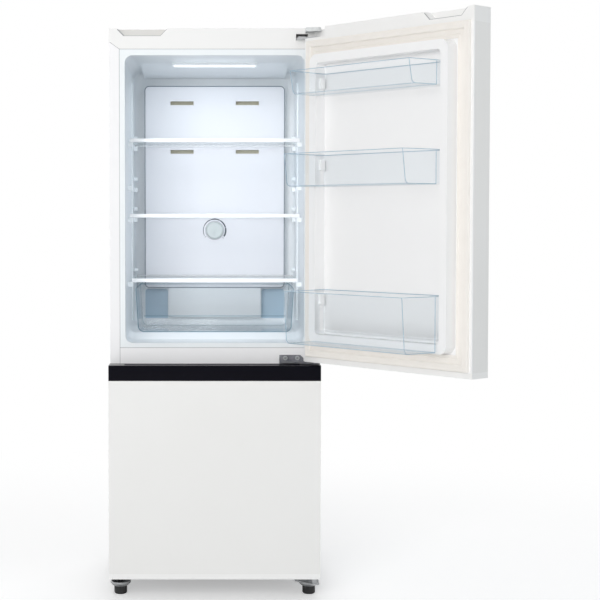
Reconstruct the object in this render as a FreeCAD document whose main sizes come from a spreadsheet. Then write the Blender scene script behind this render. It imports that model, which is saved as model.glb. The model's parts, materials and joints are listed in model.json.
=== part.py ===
import FreeCAD, Part
import math
import os
import Sketcher
from FreeCAD import Rotation, Vector

# Bottom freezer refrigerator, 550 mm wide: cabinet, fridge door standing open, freezer door closed.
# Frame: millimetres, X to the right, Y to the back, Z up. The origin is on the floor, below the middle
# of the cabinet's front face, which lies in the plane Y = 0. Both doors are drawn closed, in front of
# that plane, and the fridge door is then turned about its hinge.

doc = FreeCAD.newDocument("BottomFreezerRefrigerator")

# ---------------------------------------------------------------- driving dimensions

SIZES = (
    # cabinet
    ("cabinet_width", 550, "outer width of cabinet and doors"),
    ("cabinet_height", 1495, "floor to the top of the front trim"),
    ("cabinet_depth", 478, "front face to back panel"),
    ("cabinet_floor", 44, "floor to the underside of the base pan"),
    ("sheet", 0.8, "thickness of the steel sheet"),
    ("play", 1, "air between pieces that stand close"),
    ("side_flange", 26, "front return flange of a side panel"),
    ("rear_flange", 12, "rear return flange of a side panel"),
    ("trim_height", 36, "height of the top front trim"),
    ("trim_depth", 60, "depth of the top front trim"),
    ("trim_overhang", 1.5, "top trim and top panel beyond the side panels"),
    ("trim_lip", 18, "lip of the trim between the mitred side flanges"),
    ("top_panel_drop", 4, "top panel below the top of the trim"),
    ("top_panel_wall", 2.5, "wall of the top panel"),
    ("beam_depth", 25, "depth of the cross beam's channel"),
    # finger recesses
    ("grip_inset", 19, "finger recess from the cabinet's side, at its mouth"),
    ("grip_right", 123, "near end of the finger recess from the middle, at its mouth"),
    ("grip_taper", 19, "each end of the recess draws in by this towards its floor"),
    ("grip_height", 19, "height of the finger recess"),
    ("grip_depth", 27, "depth of each finger recess"),
    # fridge compartment
    ("side_foam", 40, "outside of the cabinet to the compartments' side walls"),
    ("liner_wall", 2, "wall of the moulded liners"),
    ("beam_space", 80, "freezer ceiling to the lower edge of the fridge opening"),
    ("ceiling_foam", 70, "top of the cabinet to the fridge ceiling"),
    ("cavity_corner", 20, "corner radius of the compartments"),
    ("rear_foam", 46, "back of the cabinet to the compartments' rear wall"),
    ("liner_rim_low", 12, "liner rim below and above the openings' lower edges"),
    ("liner_rim_top", 16, "liner rim above the fridge opening"),
    ("plinth_height", 17, "floor of the crisper zone above the opening's edge"),
    ("ramp_start", 112, "where the fridge floor starts to rise"),
    ("ramp_length", 34, "length of that rise"),
    ("lamp_rear", 196, "rear face of the lamp lens, where the lamp housing starts"),
    ("housing_drop", 20, "fall of the lamp housing to the rear"),
    # shelves
    ("shelf_front", 125, "front edge of the shelves"),
    ("shelf_air", 7, "rear edge of the shelves to the duct cover"),
    ("shelf_gap", 5, "shelf end to compartment wall"),
    ("glass", 4, "thickness of the shelf glass"),
    ("band_height", 10, "height of a shelf's front trim"),
    ("band_depth", 16, "depth of a shelf's trim"),
    ("upper_shelf_share", 0.634, "share of the height over the crisper that lies below the upper shelf"),
    ("lower_shelf_share", 0.2931, "the same for the lower shelf"),
    ("spare_rest_share", 0.437, "the same for the spare shelf rests"),
    ("crisper_air", 4.6, "crisper drawer to the glass over it"),
    ("rest_reach", 13, "shelf rests stand out from the wall"),
    ("rest_height", 12, "height of a shelf rest"),
    ("rest_front", 130, "front end of the foremost shelf rests"),
    ("rest_length", 30, "length of a shelf rest"),
    ("rest_inset", 32, "the shelf rests stand closer together than a shelf is deep"),
    ("stop_radius", 6, "radius of the round stops above a shelf's rear"),
    ("stop_height", 24, "height of these stops above the shelf's underside"),
    ("pad_length", 132, "raised side wall panels from the rear wall"),
    ("pad_rise", 3, "thickness of the raised side wall panels"),
    ("boss_half", 134, "half the width of the boss behind the crisper"),
    ("seat", 0.3, "running clearance between seated pieces that move"),
    # crisper drawer
    ("crisper_front", 145, "front of the crisper drawer"),
    ("crisper_rear_air", 15, "crisper drawer to the duct cover"),
    ("crisper_side_air", 19, "crisper's rim to the side walls"),
    ("crisper_draft", 6, "the crisper is narrower at its floor by this on each side"),
    ("crisper_height", 133, "height of the crisper drawer"),
    ("crisper_corner", 16, "corner radius of the crisper drawer"),
    ("crisper_chamfer", 13, "corner cut off the crisper's front panel"),
    ("clear_wall", 2.5, "wall of the clear plastic pieces"),
    # air duct, dial and lamp
    ("duct_inset", 31, "side of the duct cover to the side wall"),
    ("duct_lap", 29.6, "the duct cover reaches below the glass over the crisper by this"),
    ("duct_drop", 42, "fridge ceiling to the top of the duct cover"),
    ("duct_space", 32, "face of the duct cover to the rear wall"),
    ("duct_wall", 2.5, "wall of the duct cover"),
    ("duct_corner", 14, "corner radius of the duct cover"),
    ("vent_inner", 61, "inner end of a vent slot from the middle"),
    ("vent_length", 67, "length of a vent slot"),
    ("vent_height", 11, "height of a vent slot"),
    ("vent_drop", 56, "top of the duct cover to the lower edge of the upper vent slots"),
    ("vent_row_gap", 140, "upper to lower vent slots"),
    ("channel_depth", 14, "depth of the air channels in the duct foam"),
    ("dial_drop", 37, "lower shelf to the dial's axis"),
    ("dial_radius", 25, "radius of the dial"),
    ("dial_reach", 14, "dial's face in front of the duct cover"),
    ("dial_ring", 33, "radius of the ring round the dial"),
    ("dial_bevel", 5, "bevel of the dial's edge"),
    ("pointer_rise", 2, "the pointer stands proud of the dial by this, and is twice as wide"),
    ("dial_shaft", 5, "radius of the dial's shaft"),
    ("dial_turn", -30, "the dial's pointer from straight up, clockwise"),
    ("shutter_radius", 28, "radius of the air shutter on the dial's shaft"),
    ("shutter_thick", 3, "thickness of the air shutter"),
    ("lamp_half", 116, "half the length of the lamp lens"),
    ("lamp_height", 12, "height of the lamp lens"),
    ("lamp_depth", 17, "depth of the lamp lens"),
    ("running", 0.05, "radial clearance of pins, shafts and wheels"),
    # freezer compartment
    ("freezer_floor", 96, "lower edge of the freezer opening"),
    ("freezer_ceiling", 592, "upper edge of the freezer opening"),
    ("machine_depth", 178, "depth of the machine compartment"),
    ("machine_top", 290, "top of the machine compartment"),
    ("step_foam", 38, "foam between freezer liner and machine compartment"),
    ("step_chamfer", 58, "slope at the freezer floor's step"),
    ("cooler_space", 60, "face of the evaporator cover to the rear wall"),
    ("cooler_low", 334, "lower edge of the evaporator cover"),
    ("fan_radius", 50, "radius of the fan blade"),
    ("fan_drop", 72, "freezer ceiling to the fan's axis"),
    # freezer drawers
    ("drawer_front", 30, "front of the freezer drawers"),
    ("drawer_side_air", 20, "freezer drawer to the side wall"),
    ("drawer_air", 12, "rear of the upper freezer drawers to the evaporator cover"),
    ("step_air", 26, "rear of the lowest freezer drawer to the foam of the step"),
    ("drawer_height", 104, "height of the upper freezer drawers"),
    ("ledge_air", 16, "top of the lowest freezer drawer to the middle drawer"),
    ("drawer_ledge", 338, "height of the middle drawer's ledges"),
    ("drawer_pitch", 124, "middle to top freezer drawer"),
    ("drawer_wall", 2.5, "wall of a freezer drawer"),
    ("ledge_width", 32, "width of the ledges that carry the drawers"),
    ("ledge_height", 8, "height of these ledges"),
    # doors
    ("door_gap", 9, "cabinet face to the doors' inner face"),
    ("door_thickness", 59, "thickness of both doors"),
    ("doors_gap", 7.5, "freezer door to fridge door"),
    ("door_drop", 7, "top of the cabinet to the top of the fridge door"),
    ("freezer_door_low", 61.5, "lower edge of the freezer door"),
    ("freezer_door_rise", 27.5, "freezer ceiling to the upper edge of the freezer door"),
    ("top_cap", 36, "height of the fridge door's top cap"),
    ("bottom_cap", 14, "height of the doors' bottom caps"),
    ("handle_height", 40, "height of the black handle cap"),
    ("handle_bevel", 3, "edge cut off the top of the handle cap"),
    ("handle_slot_depth", 24, "depth of the grip channel from its mouth"),
    ("handle_lip", 12, "front wall of the grip channel"),
    ("handle_slot", 24, "width of the grip channel"),
    ("handle_inset", 40, "end of the grip channel from the door's edge"),
    ("hem", 12, "return flange of a door skin"),
    ("door_liner", 3, "thickness of a door liner"),
    ("gasket_inset", 9, "gasket from the doors' sides"),
    ("gasket_low", 15, "gasket from the doors' lower edges"),
    ("gasket_top", 33, "gasket from the fridge door's upper edge"),
    ("freezer_gasket_top", 13.5, "gasket from the freezer door's upper edge"),
    ("gasket_width", 38, "width of the gasket with its flap"),
    ("bellows_width", 18, "width of the gasket's magnet bellows"),
    ("flap", 2.5, "thickness of the gasket's flap"),
    ("gasket_air", 1, "closed gasket to cabinet face"),
    ("dyke_gap", 2.5, "gasket to the raised dykes of the door liner"),
    ("dyke_width", 22, "width of a dyke"),
    ("dyke_height", 34, "height of a dyke above the liner"),
    ("dyke_wall", 2.5, "wall of a dyke"),
    ("dyke_corner", 22, "corner radius of the dykes"),
    ("panel_inset", 89, "side of the door to its liner's raised panels"),
    ("panel_rise", 1.5, "thickness of these panels"),
    ("panel_air", 14, "raised panels to the bins above and below"),
    ("door_open", 131, "fridge door's opening angle as shown"),
    # door bins
    ("bin_gap", 2, "bin end to dyke"),
    ("bin_lean", 9, "a bin's front wall leans out by this"),
    ("top_bin_drop", 179, "top of the fridge door to the underside of the top bin"),
    ("top_bin_height", 58, "height of the top bin"),
    ("top_bin_front", 118, "front of the top bin from the cabinet face"),
    ("bin_row_gap", 230, "underside of the middle bin to that of the top bin"),
    ("middle_bin_height", 82, "height of the middle bin"),
    ("bottom_bin_rise", 59, "underside of the fridge door to that of the bottom bin"),
    ("bottom_bin_height", 133, "height of the bottom bin"),
    ("bottom_bin_step", 26, "the bottom bin's rear is raised by this, over the dyke"),
    ("deep_bin_front", 138, "front of the two lower bins from the cabinet face"),
    ("bin_corner", 12, "radius of a bin's lower front edge"),
    ("lug_reach", 7, "bin lugs stand out from the dykes"),
    ("lug_width", 15, "width of a bin lug"),
    ("lug_height", 26, "height of a bin lug"),
    # hinges
    ("hinge_inset", 14, "hinge axis from the cabinet's side"),
    ("hinge_y", -33, "hinge axis from the cabinet face"),
    ("pin_radius", 4, "radius of the hinge pins"),
    ("pin_length", 12, "depth of the pins in the door caps"),
    ("arm_radius", 14, "radius of a hinge arm's round end"),
    ("arm_thick", 4, "thickness of a hinge arm"),
    ("notch_floor", 25, "floor of the top cap's hinge notch below the door's top"),
    ("slot_inset", 63, "left end of the hinge slot in the top trim from the cabinet's side"),
    ("slot_width", 31, "width of the hinge slot"),
    ("slot_drop", 31, "top of the cabinet to the floor of the hinge slot"),
    ("slot_height", 16, "height of the hinge slot"),
    ("hinge_cover_drop", 13, "top of the cabinet to the underside of the top hinge cover"),
    ("hinge_cover_reach", 25, "top hinge cover to the left of the pin"),
    ("hinge_cover_height", 10, "height of the top hinge cover"),
    ("plate_inset", 105, "left end of the middle hinge's plate from the cabinet's side"),
    ("plate_width", 63, "width of that plate"),
    ("plate_rise", 22, "freezer ceiling to the lower edge of that plate"),
    ("plate_thick", 2.5, "thickness of that plate"),
    ("screw_radius", 2.2, "radius of a screw's shank"),
    ("screw_head", 6, "radius of a screw's head"),
    ("screw_head_height", 3, "height of a screw's head"),
    ("screw_length", 12, "length of a screw's shank"),
    # feet and rollers
    ("foot_inset", 24, "front feet from the cabinet's sides"),
    ("foot_y", 30, "front feet behind the cabinet face"),
    ("pad_radius", 17, "radius of a foot's pad"),
    ("pad_height", 22, "height of a foot's pad"),
    ("pad_edge", 5, "rounding of a foot's pad"),
    ("stud_radius", 5, "radius of a foot's stud"),
    ("stud_top", 37, "top of a foot's stud"),
    ("cup_radius", 27, "radius of a foot's plated bracket"),
    ("cup_height", 12, "height of that bracket's rim"),
    ("cup_wall", 2.5, "wall of that bracket"),
    ("cup_edge", 7, "slanted edge under that bracket"),
    ("roller_radius", 17, "radius of a rear roller"),
    ("roller_width", 14, "width of a rear roller"),
    ("roller_inset", 43, "rear rollers from the cabinet's sides"),
    ("roller_rear", 42, "rear rollers from the back of the cabinet"),
    ("axle_radius", 3, "radius of a roller's axle"),
    ("cheek", 2, "thickness of a roller bracket"),
    # cooling machine
    ("compressor_x", 110, "compressor right of the middle"),
    ("compressor_rear", 86, "compressor's axis from the back of the cabinet"),
    ("compressor_radius", 68, "radius of the compressor's can"),
    ("compressor_height", 150, "height of the compressor's can"),
    ("grommet_height", 13, "height of a rubber grommet"),
    ("grommet_radius", 11, "radius of a rubber grommet"),
    ("grommet_spread_x", 80, "grommets from the compressor's axis, sideways"),
    ("grommet_spread_y", 42, "grommets from the compressor's axis, front to back"),
    ("tray_height", 25.5, "height of the evaporation tray"),
    ("tube", 5, "diameter of the condenser's tube"),
    ("coil_pitch", 34, "pass to pass of the condenser"),
    ("coil_inset", 60, "left end of the condenser from the cabinet's side"),
    ("coil_right", -45, "right end of the condenser"),
    ("coil_low", 70, "lowest pass of the condenser"),
    ("coil_rear", 68, "condenser from the back of the cabinet"),
)

sheet = doc.addObject("Spreadsheet::Sheet", "Sizes")
for row, (alias, number, note) in enumerate(SIZES, start=1):
    sheet.set("A%d" % row, alias)
    sheet.set("B%d" % row, str(number))
    sheet.set("C%d" % row, note)
    sheet.setAlias("B%d" % row, alias)
doc.recompute()


class Size:
    """A number of the sheet, or a sum of such numbers: its value and the expression that gives it."""

    def __init__(self, value, text):
        self.value = value
        self.text = text

    def __add__(self, other):
        other = as_size(other)
        return Size(self.value + other.value, "(%s + %s)" % (self.text, other.text))

    def __sub__(self, other):
        other = as_size(other)
        return Size(self.value - other.value, "(%s - %s)" % (self.text, other.text))

    def __mul__(self, other):
        other = as_size(other)
        return Size(self.value * other.value, "(%s * %s)" % (self.text, other.text))

    def __truediv__(self, other):
        other = as_size(other)
        return Size(self.value / other.value, "(%s / %s)" % (self.text, other.text))

    def __neg__(self):
        return Size(-self.value, "(0 - %s)" % self.text)

    def __radd__(self, other):
        return as_size(other) + self

    def __rsub__(self, other):
        return as_size(other) - self

    def __rmul__(self, other):
        return as_size(other) * self


def as_size(number):
    if isinstance(number, Size):
        return number
    return Size(float(number), "(%r)" % float(number))


class Sheet:
    """The sheet's cells by name, each as a Size."""

    def __init__(self):
        for alias, _number, _note in SIZES:
            setattr(self, alias, Size(float(sheet.get(alias)), "Sizes." + alias))


s = Sheet()

# Sizes that follow from the outer ones, so that the inside keeps its place when those change.
half = s.cabinet_width / 2
s.cavity_half = half - s.side_foam
s.cavity_rear = s.cabinet_depth - s.rear_foam
s.fridge_ceiling = s.cabinet_height - s.ceiling_foam
s.fridge_floor = s.freezer_ceiling + s.beam_space
s.crisper_cover = s.fridge_floor + s.plinth_height + s.crisper_height + s.crisper_air
over_crisper = s.fridge_ceiling - s.crisper_cover
s.upper_shelf = s.crisper_cover + over_crisper * s.upper_shelf_share
s.lower_shelf = s.crisper_cover + over_crisper * s.lower_shelf_share
s.spare_rest = s.crisper_cover + over_crisper * s.spare_rest_share

s.duct_half = s.cavity_half - s.duct_inset
s.duct_face = s.cavity_rear - s.duct_space
s.duct_low = s.crisper_cover - s.duct_lap
s.duct_high = s.fridge_ceiling - s.duct_drop
s.vent_upper = s.duct_high - s.vent_drop
s.dial_height = s.lower_shelf - s.dial_drop
s.shelf_depth = s.duct_face - s.shelf_front - s.shelf_air
s.rest_pitch = s.shelf_depth - s.rest_inset
s.pad_front = s.cavity_rear - s.pad_length
s.crisper_half = s.cavity_half - s.crisper_side_air
s.crisper_depth = s.duct_face - s.crisper_front - s.crisper_rear_air

s.machine_front = s.cabinet_depth - s.machine_depth
s.cooler_face = s.cavity_rear - s.cooler_space
s.fan_height = s.freezer_ceiling - s.fan_drop
s.drawer_half = s.cavity_half - s.drawer_side_air
s.drawer_depth = s.cooler_face - s.drawer_front - s.drawer_air
s.low_drawer_depth = s.machine_front - s.step_foam - s.step_air - s.drawer_front
s.low_drawer_height = s.drawer_ledge - s.ledge_air - s.freezer_floor

s.freezer_door_high = s.freezer_ceiling + s.freezer_door_rise
s.fridge_door_low = s.freezer_door_high + s.doors_gap
s.fridge_door_high = s.cabinet_height - s.door_drop
s.grip_left = half - s.grip_inset
s.panel_half = half - s.panel_inset
s.top_bin_low = s.fridge_door_high - s.top_bin_drop
s.middle_bin_low = s.top_bin_low - s.bin_row_gap
s.bottom_bin_low = s.fridge_door_low + s.bottom_bin_rise

s.hinge_x = half - s.hinge_inset
s.slot_left = half - s.slot_inset
s.slot_low = s.cabinet_height - s.slot_drop
s.hinge_cover_low = s.cabinet_height - s.hinge_cover_drop
s.plate_left = half - s.plate_inset
s.plate_low = s.freezer_ceiling + s.plate_rise
s.foot_x = half - s.foot_inset
s.roller_x = half - s.roller_inset
s.roller_y = s.cabinet_depth - s.roller_rear
s.compressor_y = s.cabinet_depth - s.compressor_rear
s.coil_left = -(half - s.coil_inset)
s.coil_y = s.cabinet_depth - s.coil_rear

# ---------------------------------------------------------------- drawing helpers

UNIT = {"X": Vector(1, 0, 0), "Y": Vector(0, 1, 0), "Z": Vector(0, 0, 1)}
TURN_FROM_Z = {"X": Rotation(Vector(0, 1, 0), 90), "Y": Rotation(Vector(1, 0, 0), -90), "Z": Rotation()}
PARALLEL = 1e-6
NEAR = 1e-4
PIECES = []


def bind(thing, prop, size):
    thing.setExpression(prop, as_size(size).text)


def place(thing, x=0, y=0, z=0):
    """Bind a thing's place to three sizes."""
    for letter, size in zip("xyz", (x, y, z)):
        bind(thing, "Placement.Base." + letter, size)
    return thing


def block(name, x, y, z):
    """A box between two sizes along each axis."""
    box = doc.addObject("Part::Box", name)
    for prop, (low, high) in zip(("Length", "Width", "Height"), (x, y, z)):
        bind(box, prop, as_size(high) - low)
    return place(box, x[0], y[0], z[0])


def rod(name, axis, start, radius, length):
    """A cylinder that runs from a point along an axis."""
    bar = doc.addObject("Part::Cylinder", name)
    bind(bar, "Radius", radius)
    bind(bar, "Height", length)
    bar.Placement.Rotation = TURN_FROM_Z[axis]
    return place(bar, *start)


def new_sketch(body, plane):
    sketch = body.newObject("Sketcher::SketchObject", body.Name + "Sketch")
    origin_plane = [item for item in body.Origin.OriginFeatures if item.Role == plane + "_Plane"][0]
    sketch.AttachmentSupport = [(origin_plane, "")]
    sketch.MapMode = "FlatFace"
    return sketch


def draw_outline(sketch, points):
    """A closed outline of straight lines. Two sizes set each corner from the origin."""
    corners = [(as_size(across), as_size(up)) for across, up in points]
    count = len(corners)
    for number in range(count):
        start, end = corners[number], corners[(number + 1) % count]
        line = Part.LineSegment(Vector(start[0].value, start[1].value, 0), Vector(end[0].value, end[1].value, 0))
        sketch.addGeometry(line, False)
    for number in range(count):
        sketch.addConstraint(Sketcher.Constraint("Coincident", number, 2, (number + 1) % count, 1))
    for number, corner in enumerate(corners):
        for kind, size in zip(("DistanceX", "DistanceY"), corner):
            index = sketch.addConstraint(Sketcher.Constraint(kind, -1, 1, number, 1, size.value))
            label = "%s_%d" % (kind, number)
            sketch.renameConstraint(index, label)
            sketch.setExpression("Constraints." + label, size.text)


def prism(name, plane, points, low, high):
    """A padded outline. The outline's axes are the plane's two letters, and the pad runs along the third."""
    body = doc.addObject("PartDesign::Body", name)
    sketch = new_sketch(body, plane)
    backwards = plane == "XZ"
    bind(sketch, "AttachmentOffset.Base.z", -as_size(low) if backwards else low)
    draw_outline(sketch, points)
    pad = body.newObject("PartDesign::Pad", name + "Pad")
    pad.Profile = sketch
    bind(pad, "Length", as_size(high) - low)
    pad.Reversed = backwards
    sketch.Visibility = False
    return body


def turned(name, profile):
    """A solid of revolution about Z. The profile's points are radius and height."""
    body = doc.addObject("PartDesign::Body", name)
    sketch = new_sketch(body, "XZ")
    draw_outline(sketch, profile)
    turn = body.newObject("PartDesign::Revolution", name + "Turn")
    turn.Profile = sketch
    turn.ReferenceAxis = (sketch, ["V_Axis"])
    turn.Angle = 360
    return body


def soften(body, radius, chosen):
    """Round the edges of a body that a test chooses."""
    doc.recompute()
    base = body.Tip
    names = ["Edge%d" % number for number, edge in enumerate(base.Shape.Edges, start=1) if chosen(edge)]
    fillet = body.newObject("PartDesign::Fillet", body.Name + "Round%d" % len(body.Group))
    fillet.Base = (base, names)
    bind(fillet, "Radius", radius)
    body.Tip = fillet
    return body


def runs_along(edge, axis):
    if edge.Curve.TypeId != "Part::GeomLine":
        return False
    return abs(abs(edge.tangentAt(edge.FirstParameter).dot(UNIT[axis])) - 1) < PARALLEL


def lies_at(edge, axis, size):
    """Whether the whole edge lies at one place along an axis."""
    letter = axis.lower()
    return all(abs(getattr(vertex.Point, letter) - as_size(size).value) < NEAR for vertex in edge.Vertexes)


def fuse(name, *parts):
    joined = doc.addObject("Part::MultiFuse", name)
    joined.Shapes = list(parts)
    return joined


def cut(name, base, *tools):
    result = doc.addObject("Part::Cut", name)
    result.Base = base
    result.Tool = tools[0] if len(tools) == 1 else fuse(name + "Tools", *tools)
    return result


def common(name, first, second):
    result = doc.addObject("Part::Common", name)
    result.Base = first
    result.Tool = second
    return result


def group(name, *parts):
    """Separate solids that share one node."""
    together = doc.addObject("Part::Compound", name)
    together.Links = list(parts)
    return together


def deliver(node, thing):
    """Hand a finished piece over under its node's name."""
    thing.Label = node
    PIECES.append(thing)
    return thing


def swing(thing):
    """Turn a piece of the fridge door, drawn closed, about its hinge to the angle shown."""
    thing.setExpression(
        "Placement",
        "placement(vector(0; 0; 0); rotation(vector(0; 0; 1); %s); vector(%s; %s; 0))"
        % (s.door_open.text, s.hinge_x.text, s.hinge_y.text),
    )
    return thing


# ---------------------------------------------------------------- shared places

skin_half = half - s.sheet
rim_half = half - s.side_flange
trim_low = s.cabinet_height - s.trim_height
trim_half = half + s.trim_overhang
back_inner = s.cabinet_depth - s.sheet
fridge_rim_low = s.fridge_floor - s.liner_rim_low
fridge_rim_top = s.fridge_ceiling + s.liner_rim_top
freezer_rim_low = s.freezer_floor - s.liner_rim_low
freezer_rim_top = s.freezer_ceiling + s.liner_rim_low
pan_floor = s.cabinet_floor + s.sheet
step_front = s.machine_front - s.step_foam
step_top = s.machine_top + s.step_foam
crisper_floor = s.fridge_floor + s.plinth_height
door_back = -s.door_gap
door_front = -(s.door_gap + s.door_thickness)
liner_back = door_back - s.door_liner
shelf_half = s.cavity_half - s.shelf_gap
rest_levels = (s.upper_shelf, s.spare_rest, s.lower_shelf, s.crisper_cover)
screw_spots = (s.plate_left + s.plate_width / 4, s.plate_left + 3 * s.plate_width / 4)
plate_top = s.fridge_door_low + s.gasket_low - s.play
doors_middle = (s.freezer_door_high + s.fridge_door_low) / 2
screw_height = (doors_middle + s.arm_thick / 2 + plate_top) / 2
beam_fold = [
    (0, freezer_rim_top), (s.beam_depth, freezer_rim_top), (s.beam_depth, freezer_rim_top + s.sheet),
    (s.sheet, freezer_rim_top + s.sheet), (s.sheet, fridge_rim_low - s.sheet),
    (s.beam_depth, fridge_rim_low - s.sheet), (s.beam_depth, fridge_rim_low), (0, fridge_rim_low),
]


# ---------------------------------------------------------------- cabinet shell


def side_panel(node, side):
    """One side panel: an outer wall with a return flange at the front and the rear, mitred at the top."""
    outer = side * half
    inner = side * skin_half
    rim = side * rim_half
    hem = side * (half - s.rear_flange)
    wall = prism(
        node + "Sheet", "XY",
        [(outer, 0), (outer, s.cabinet_depth), (hem, s.cabinet_depth), (hem, back_inner),
         (inner, back_inner), (inner, s.sheet), (rim, s.sheet), (rim, 0)],
        s.cabinet_floor, trim_low,
    )
    mitre = prism(
        node + "Mitre", "XZ",
        [(outer, trim_low), (rim, trim_low), (rim, trim_low - s.trim_lip)], 0, s.sheet,
    )
    deliver(node, cut(node + "Cut", wall, mitre))


def finger_recess(name, top, side, front, rear):
    """The tapered pocket of a finger recess, open at the top and towards the other half of the grip."""
    floor = top - s.grip_height
    return prism(
        name, "XZ",
        [(side * s.grip_left, top), (side * s.grip_right, top),
         (side * (s.grip_right + s.grip_taper), floor), (side * (s.grip_left - s.grip_taper), floor)],
        front, rear,
    )


def top_trim():
    """The moulded front trim, with a finger recess on the left and the hinge slot on the right."""
    bar = block("TrimBar", (-trim_half, trim_half), (0, s.trim_depth), (trim_low, s.cabinet_height))
    lip = prism(
        "TrimLip", "XZ",
        [(-half, trim_low), (half, trim_low), (rim_half, trim_low - s.trim_lip),
         (-rim_half, trim_low - s.trim_lip)], 0, s.sheet,
    )
    recess = finger_recess("TrimRecess", s.cabinet_height, -1, 0, s.grip_depth)
    slot = block(
        "TrimSlot", (s.slot_left, s.slot_left + s.slot_width), (0, s.trim_depth),
        (s.slot_low, s.slot_low + s.slot_height),
    )
    deliver("top_trim", cut("TrimCut", fuse("TrimBody", bar, lip), recess, slot))


def top_panel():
    """The moulded top cover behind the trim, a tray turned upside down over the foam."""
    top = s.cabinet_height - s.top_panel_drop
    outer = block("TopPanelBlock", (-trim_half, trim_half), (s.trim_depth, s.cabinet_depth), (trim_low, top))
    inner = block("TopPanelHollow", *top_hollow())
    deliver("top_panel", cut("TopPanelCut", outer, inner))


def top_hollow():
    """The bounds of the space under the top cover."""
    wall = s.top_panel_wall
    return (
        (-(trim_half - wall), trim_half - wall),
        (s.trim_depth + wall, s.cabinet_depth - wall),
        (trim_low, s.cabinet_height - s.top_panel_drop - wall),
    )


def beam_channel():
    """The steel channel across the front between the two compartments."""
    channel = prism("BeamChannel", "YZ", beam_fold, -rim_half, rim_half)
    holes = [
        rod("BeamHole%d" % number, "Y", (across, 0, screw_height), s.screw_radius, s.sheet)
        for number, across in enumerate(screw_spots)
    ]
    return deliver("mid_beam", cut("BeamCut", channel, *holes))


def base_pan():
    """The steel floor of the cabinet, with the wall and roof of the machine compartment."""
    tray = prism(
        "PanTray", "YZ",
        [(0, s.cabinet_floor), (back_inner, s.cabinet_floor), (back_inner, pan_floor), (s.sheet, pan_floor),
         (s.sheet, freezer_rim_low), (0, freezer_rim_low)],
        -rim_half, rim_half,
    )
    step = prism(
        "PanStep", "YZ",
        [(s.machine_front, pan_floor), (s.machine_front + s.sheet, pan_floor),
         (s.machine_front + s.sheet, s.machine_top - s.sheet), (back_inner, s.machine_top - s.sheet),
         (back_inner, s.machine_top), (s.machine_front, s.machine_top)],
        -skin_half, skin_half,
    )
    floor = block("PanFloor", (-skin_half, skin_half), (s.sheet, back_inner), (s.cabinet_floor, pan_floor))
    deliver("base_pan", fuse("PanBody", tray, floor, step))


def rear_panels():
    """The back panel over the foam, and the slotted cover of the machine compartment."""
    deliver("back_panel", block(
        "BackSheet", (-skin_half, skin_half), (back_inner - s.sheet, back_inner), (s.machine_top, trim_low)))
    thick = 2 * s.sheet
    cover = prism(
        "MachineCover", "XZ",
        [(-skin_half, pan_floor), (skin_half, pan_floor), (skin_half, s.machine_top - s.sheet),
         (-skin_half, s.machine_top - s.sheet)],
        back_inner - thick, back_inner,
    )
    slot_length, slot_height = s.coil_pitch * 4, s.tube * 1.6
    sketch = cover.newObject("Sketcher::SketchObject", "VentSketch")
    sketch.AttachmentSupport = [(plane_of(cover, "XZ"), "")]
    sketch.MapMode = "FlatFace"
    bind(sketch, "AttachmentOffset.Base.z", -back_inner)
    left, low = -half + 2 * s.cup_radius, s.cabinet_floor + s.pad_height + s.cup_height
    draw_outline(sketch, [(left, low), (left + slot_length, low), (left + slot_length, low + slot_height),
                          (left, low + slot_height)])
    slot = cover.newObject("PartDesign::Pocket", "VentSlot")
    slot.Profile = sketch
    slot.Midplane = True
    bind(slot, "Length", 4 * thick)
    rows = cover.newObject("PartDesign::LinearPattern", "VentRows")
    rows.Originals = [slot]
    rows.Direction = (sketch, ["V_Axis"])
    bind(rows, "Length", s.coil_pitch * 5)
    rows.Occurrences = 9
    cover.Tip = rows
    gland_hole = rod(
        "GlandHole", "Y", (s.compressor_x, back_inner - thick, s.cabinet_floor + 2 * s.cup_radius),
        s.stud_radius + s.tube, thick,
    )
    deliver("machine_cover", cut("MachineCoverCut", cover, gland_hole))


def plane_of(body, plane):
    return [item for item in body.Origin.OriginFeatures if item.Role == plane + "_Plane"][0]


# ---------------------------------------------------------------- liners and foam


def round_cavity(body, radius, rear):
    """Round the corners along a compartment's side walls, its mouth left out, and those of its rear wall."""
    doc.recompute()
    reach = max(vertex.X for vertex in body.Shape.Vertexes)

    def is_corner(edge):
        across = runs_along(edge, "X")
        beside = all(abs(abs(vertex.X) - reach) < NEAR for vertex in edge.Vertexes)
        return lies_at(edge, "Y", rear) if across else beside and not lies_at(edge, "Y", 0)

    return soften(body, radius, is_corner)


def fridge_cavity(name, grow):
    """The fridge compartment, grown by the liner's wall for its outer shape."""
    low, high = s.fridge_floor - grow, s.fridge_ceiling + grow
    rear = s.cavity_rear + grow
    return round_cavity(prism(
        name, "YZ",
        [(0, low), (s.ramp_start, low), (s.ramp_start + s.ramp_length, low + s.plinth_height),
         (rear, low + s.plinth_height), (rear, high), (0, high)],
        -(s.cavity_half + grow), s.cavity_half + grow,
    ), s.cavity_corner + grow, rear)


def freezer_cavity(name, grow):
    """The freezer compartment, with the step over the machine compartment."""
    low, high = s.freezer_floor - grow, s.freezer_ceiling + grow
    rear = s.cavity_rear + grow
    front, top = step_front + grow, step_top - grow
    return round_cavity(prism(
        name, "YZ",
        [(0, low), (front, low), (front, top - s.step_chamfer), (front + s.step_chamfer, top), (rear, top),
         (rear, high), (0, high)],
        -(s.cavity_half + grow), s.cavity_half + grow,
    ), s.cavity_corner + grow, rear)


def sided(side, near, far):
    """Two places along X in rising order, on the right for side 1 and on the left for side -1."""
    return (side * near, side * far) if side > 0 else (side * far, side * near)


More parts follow.
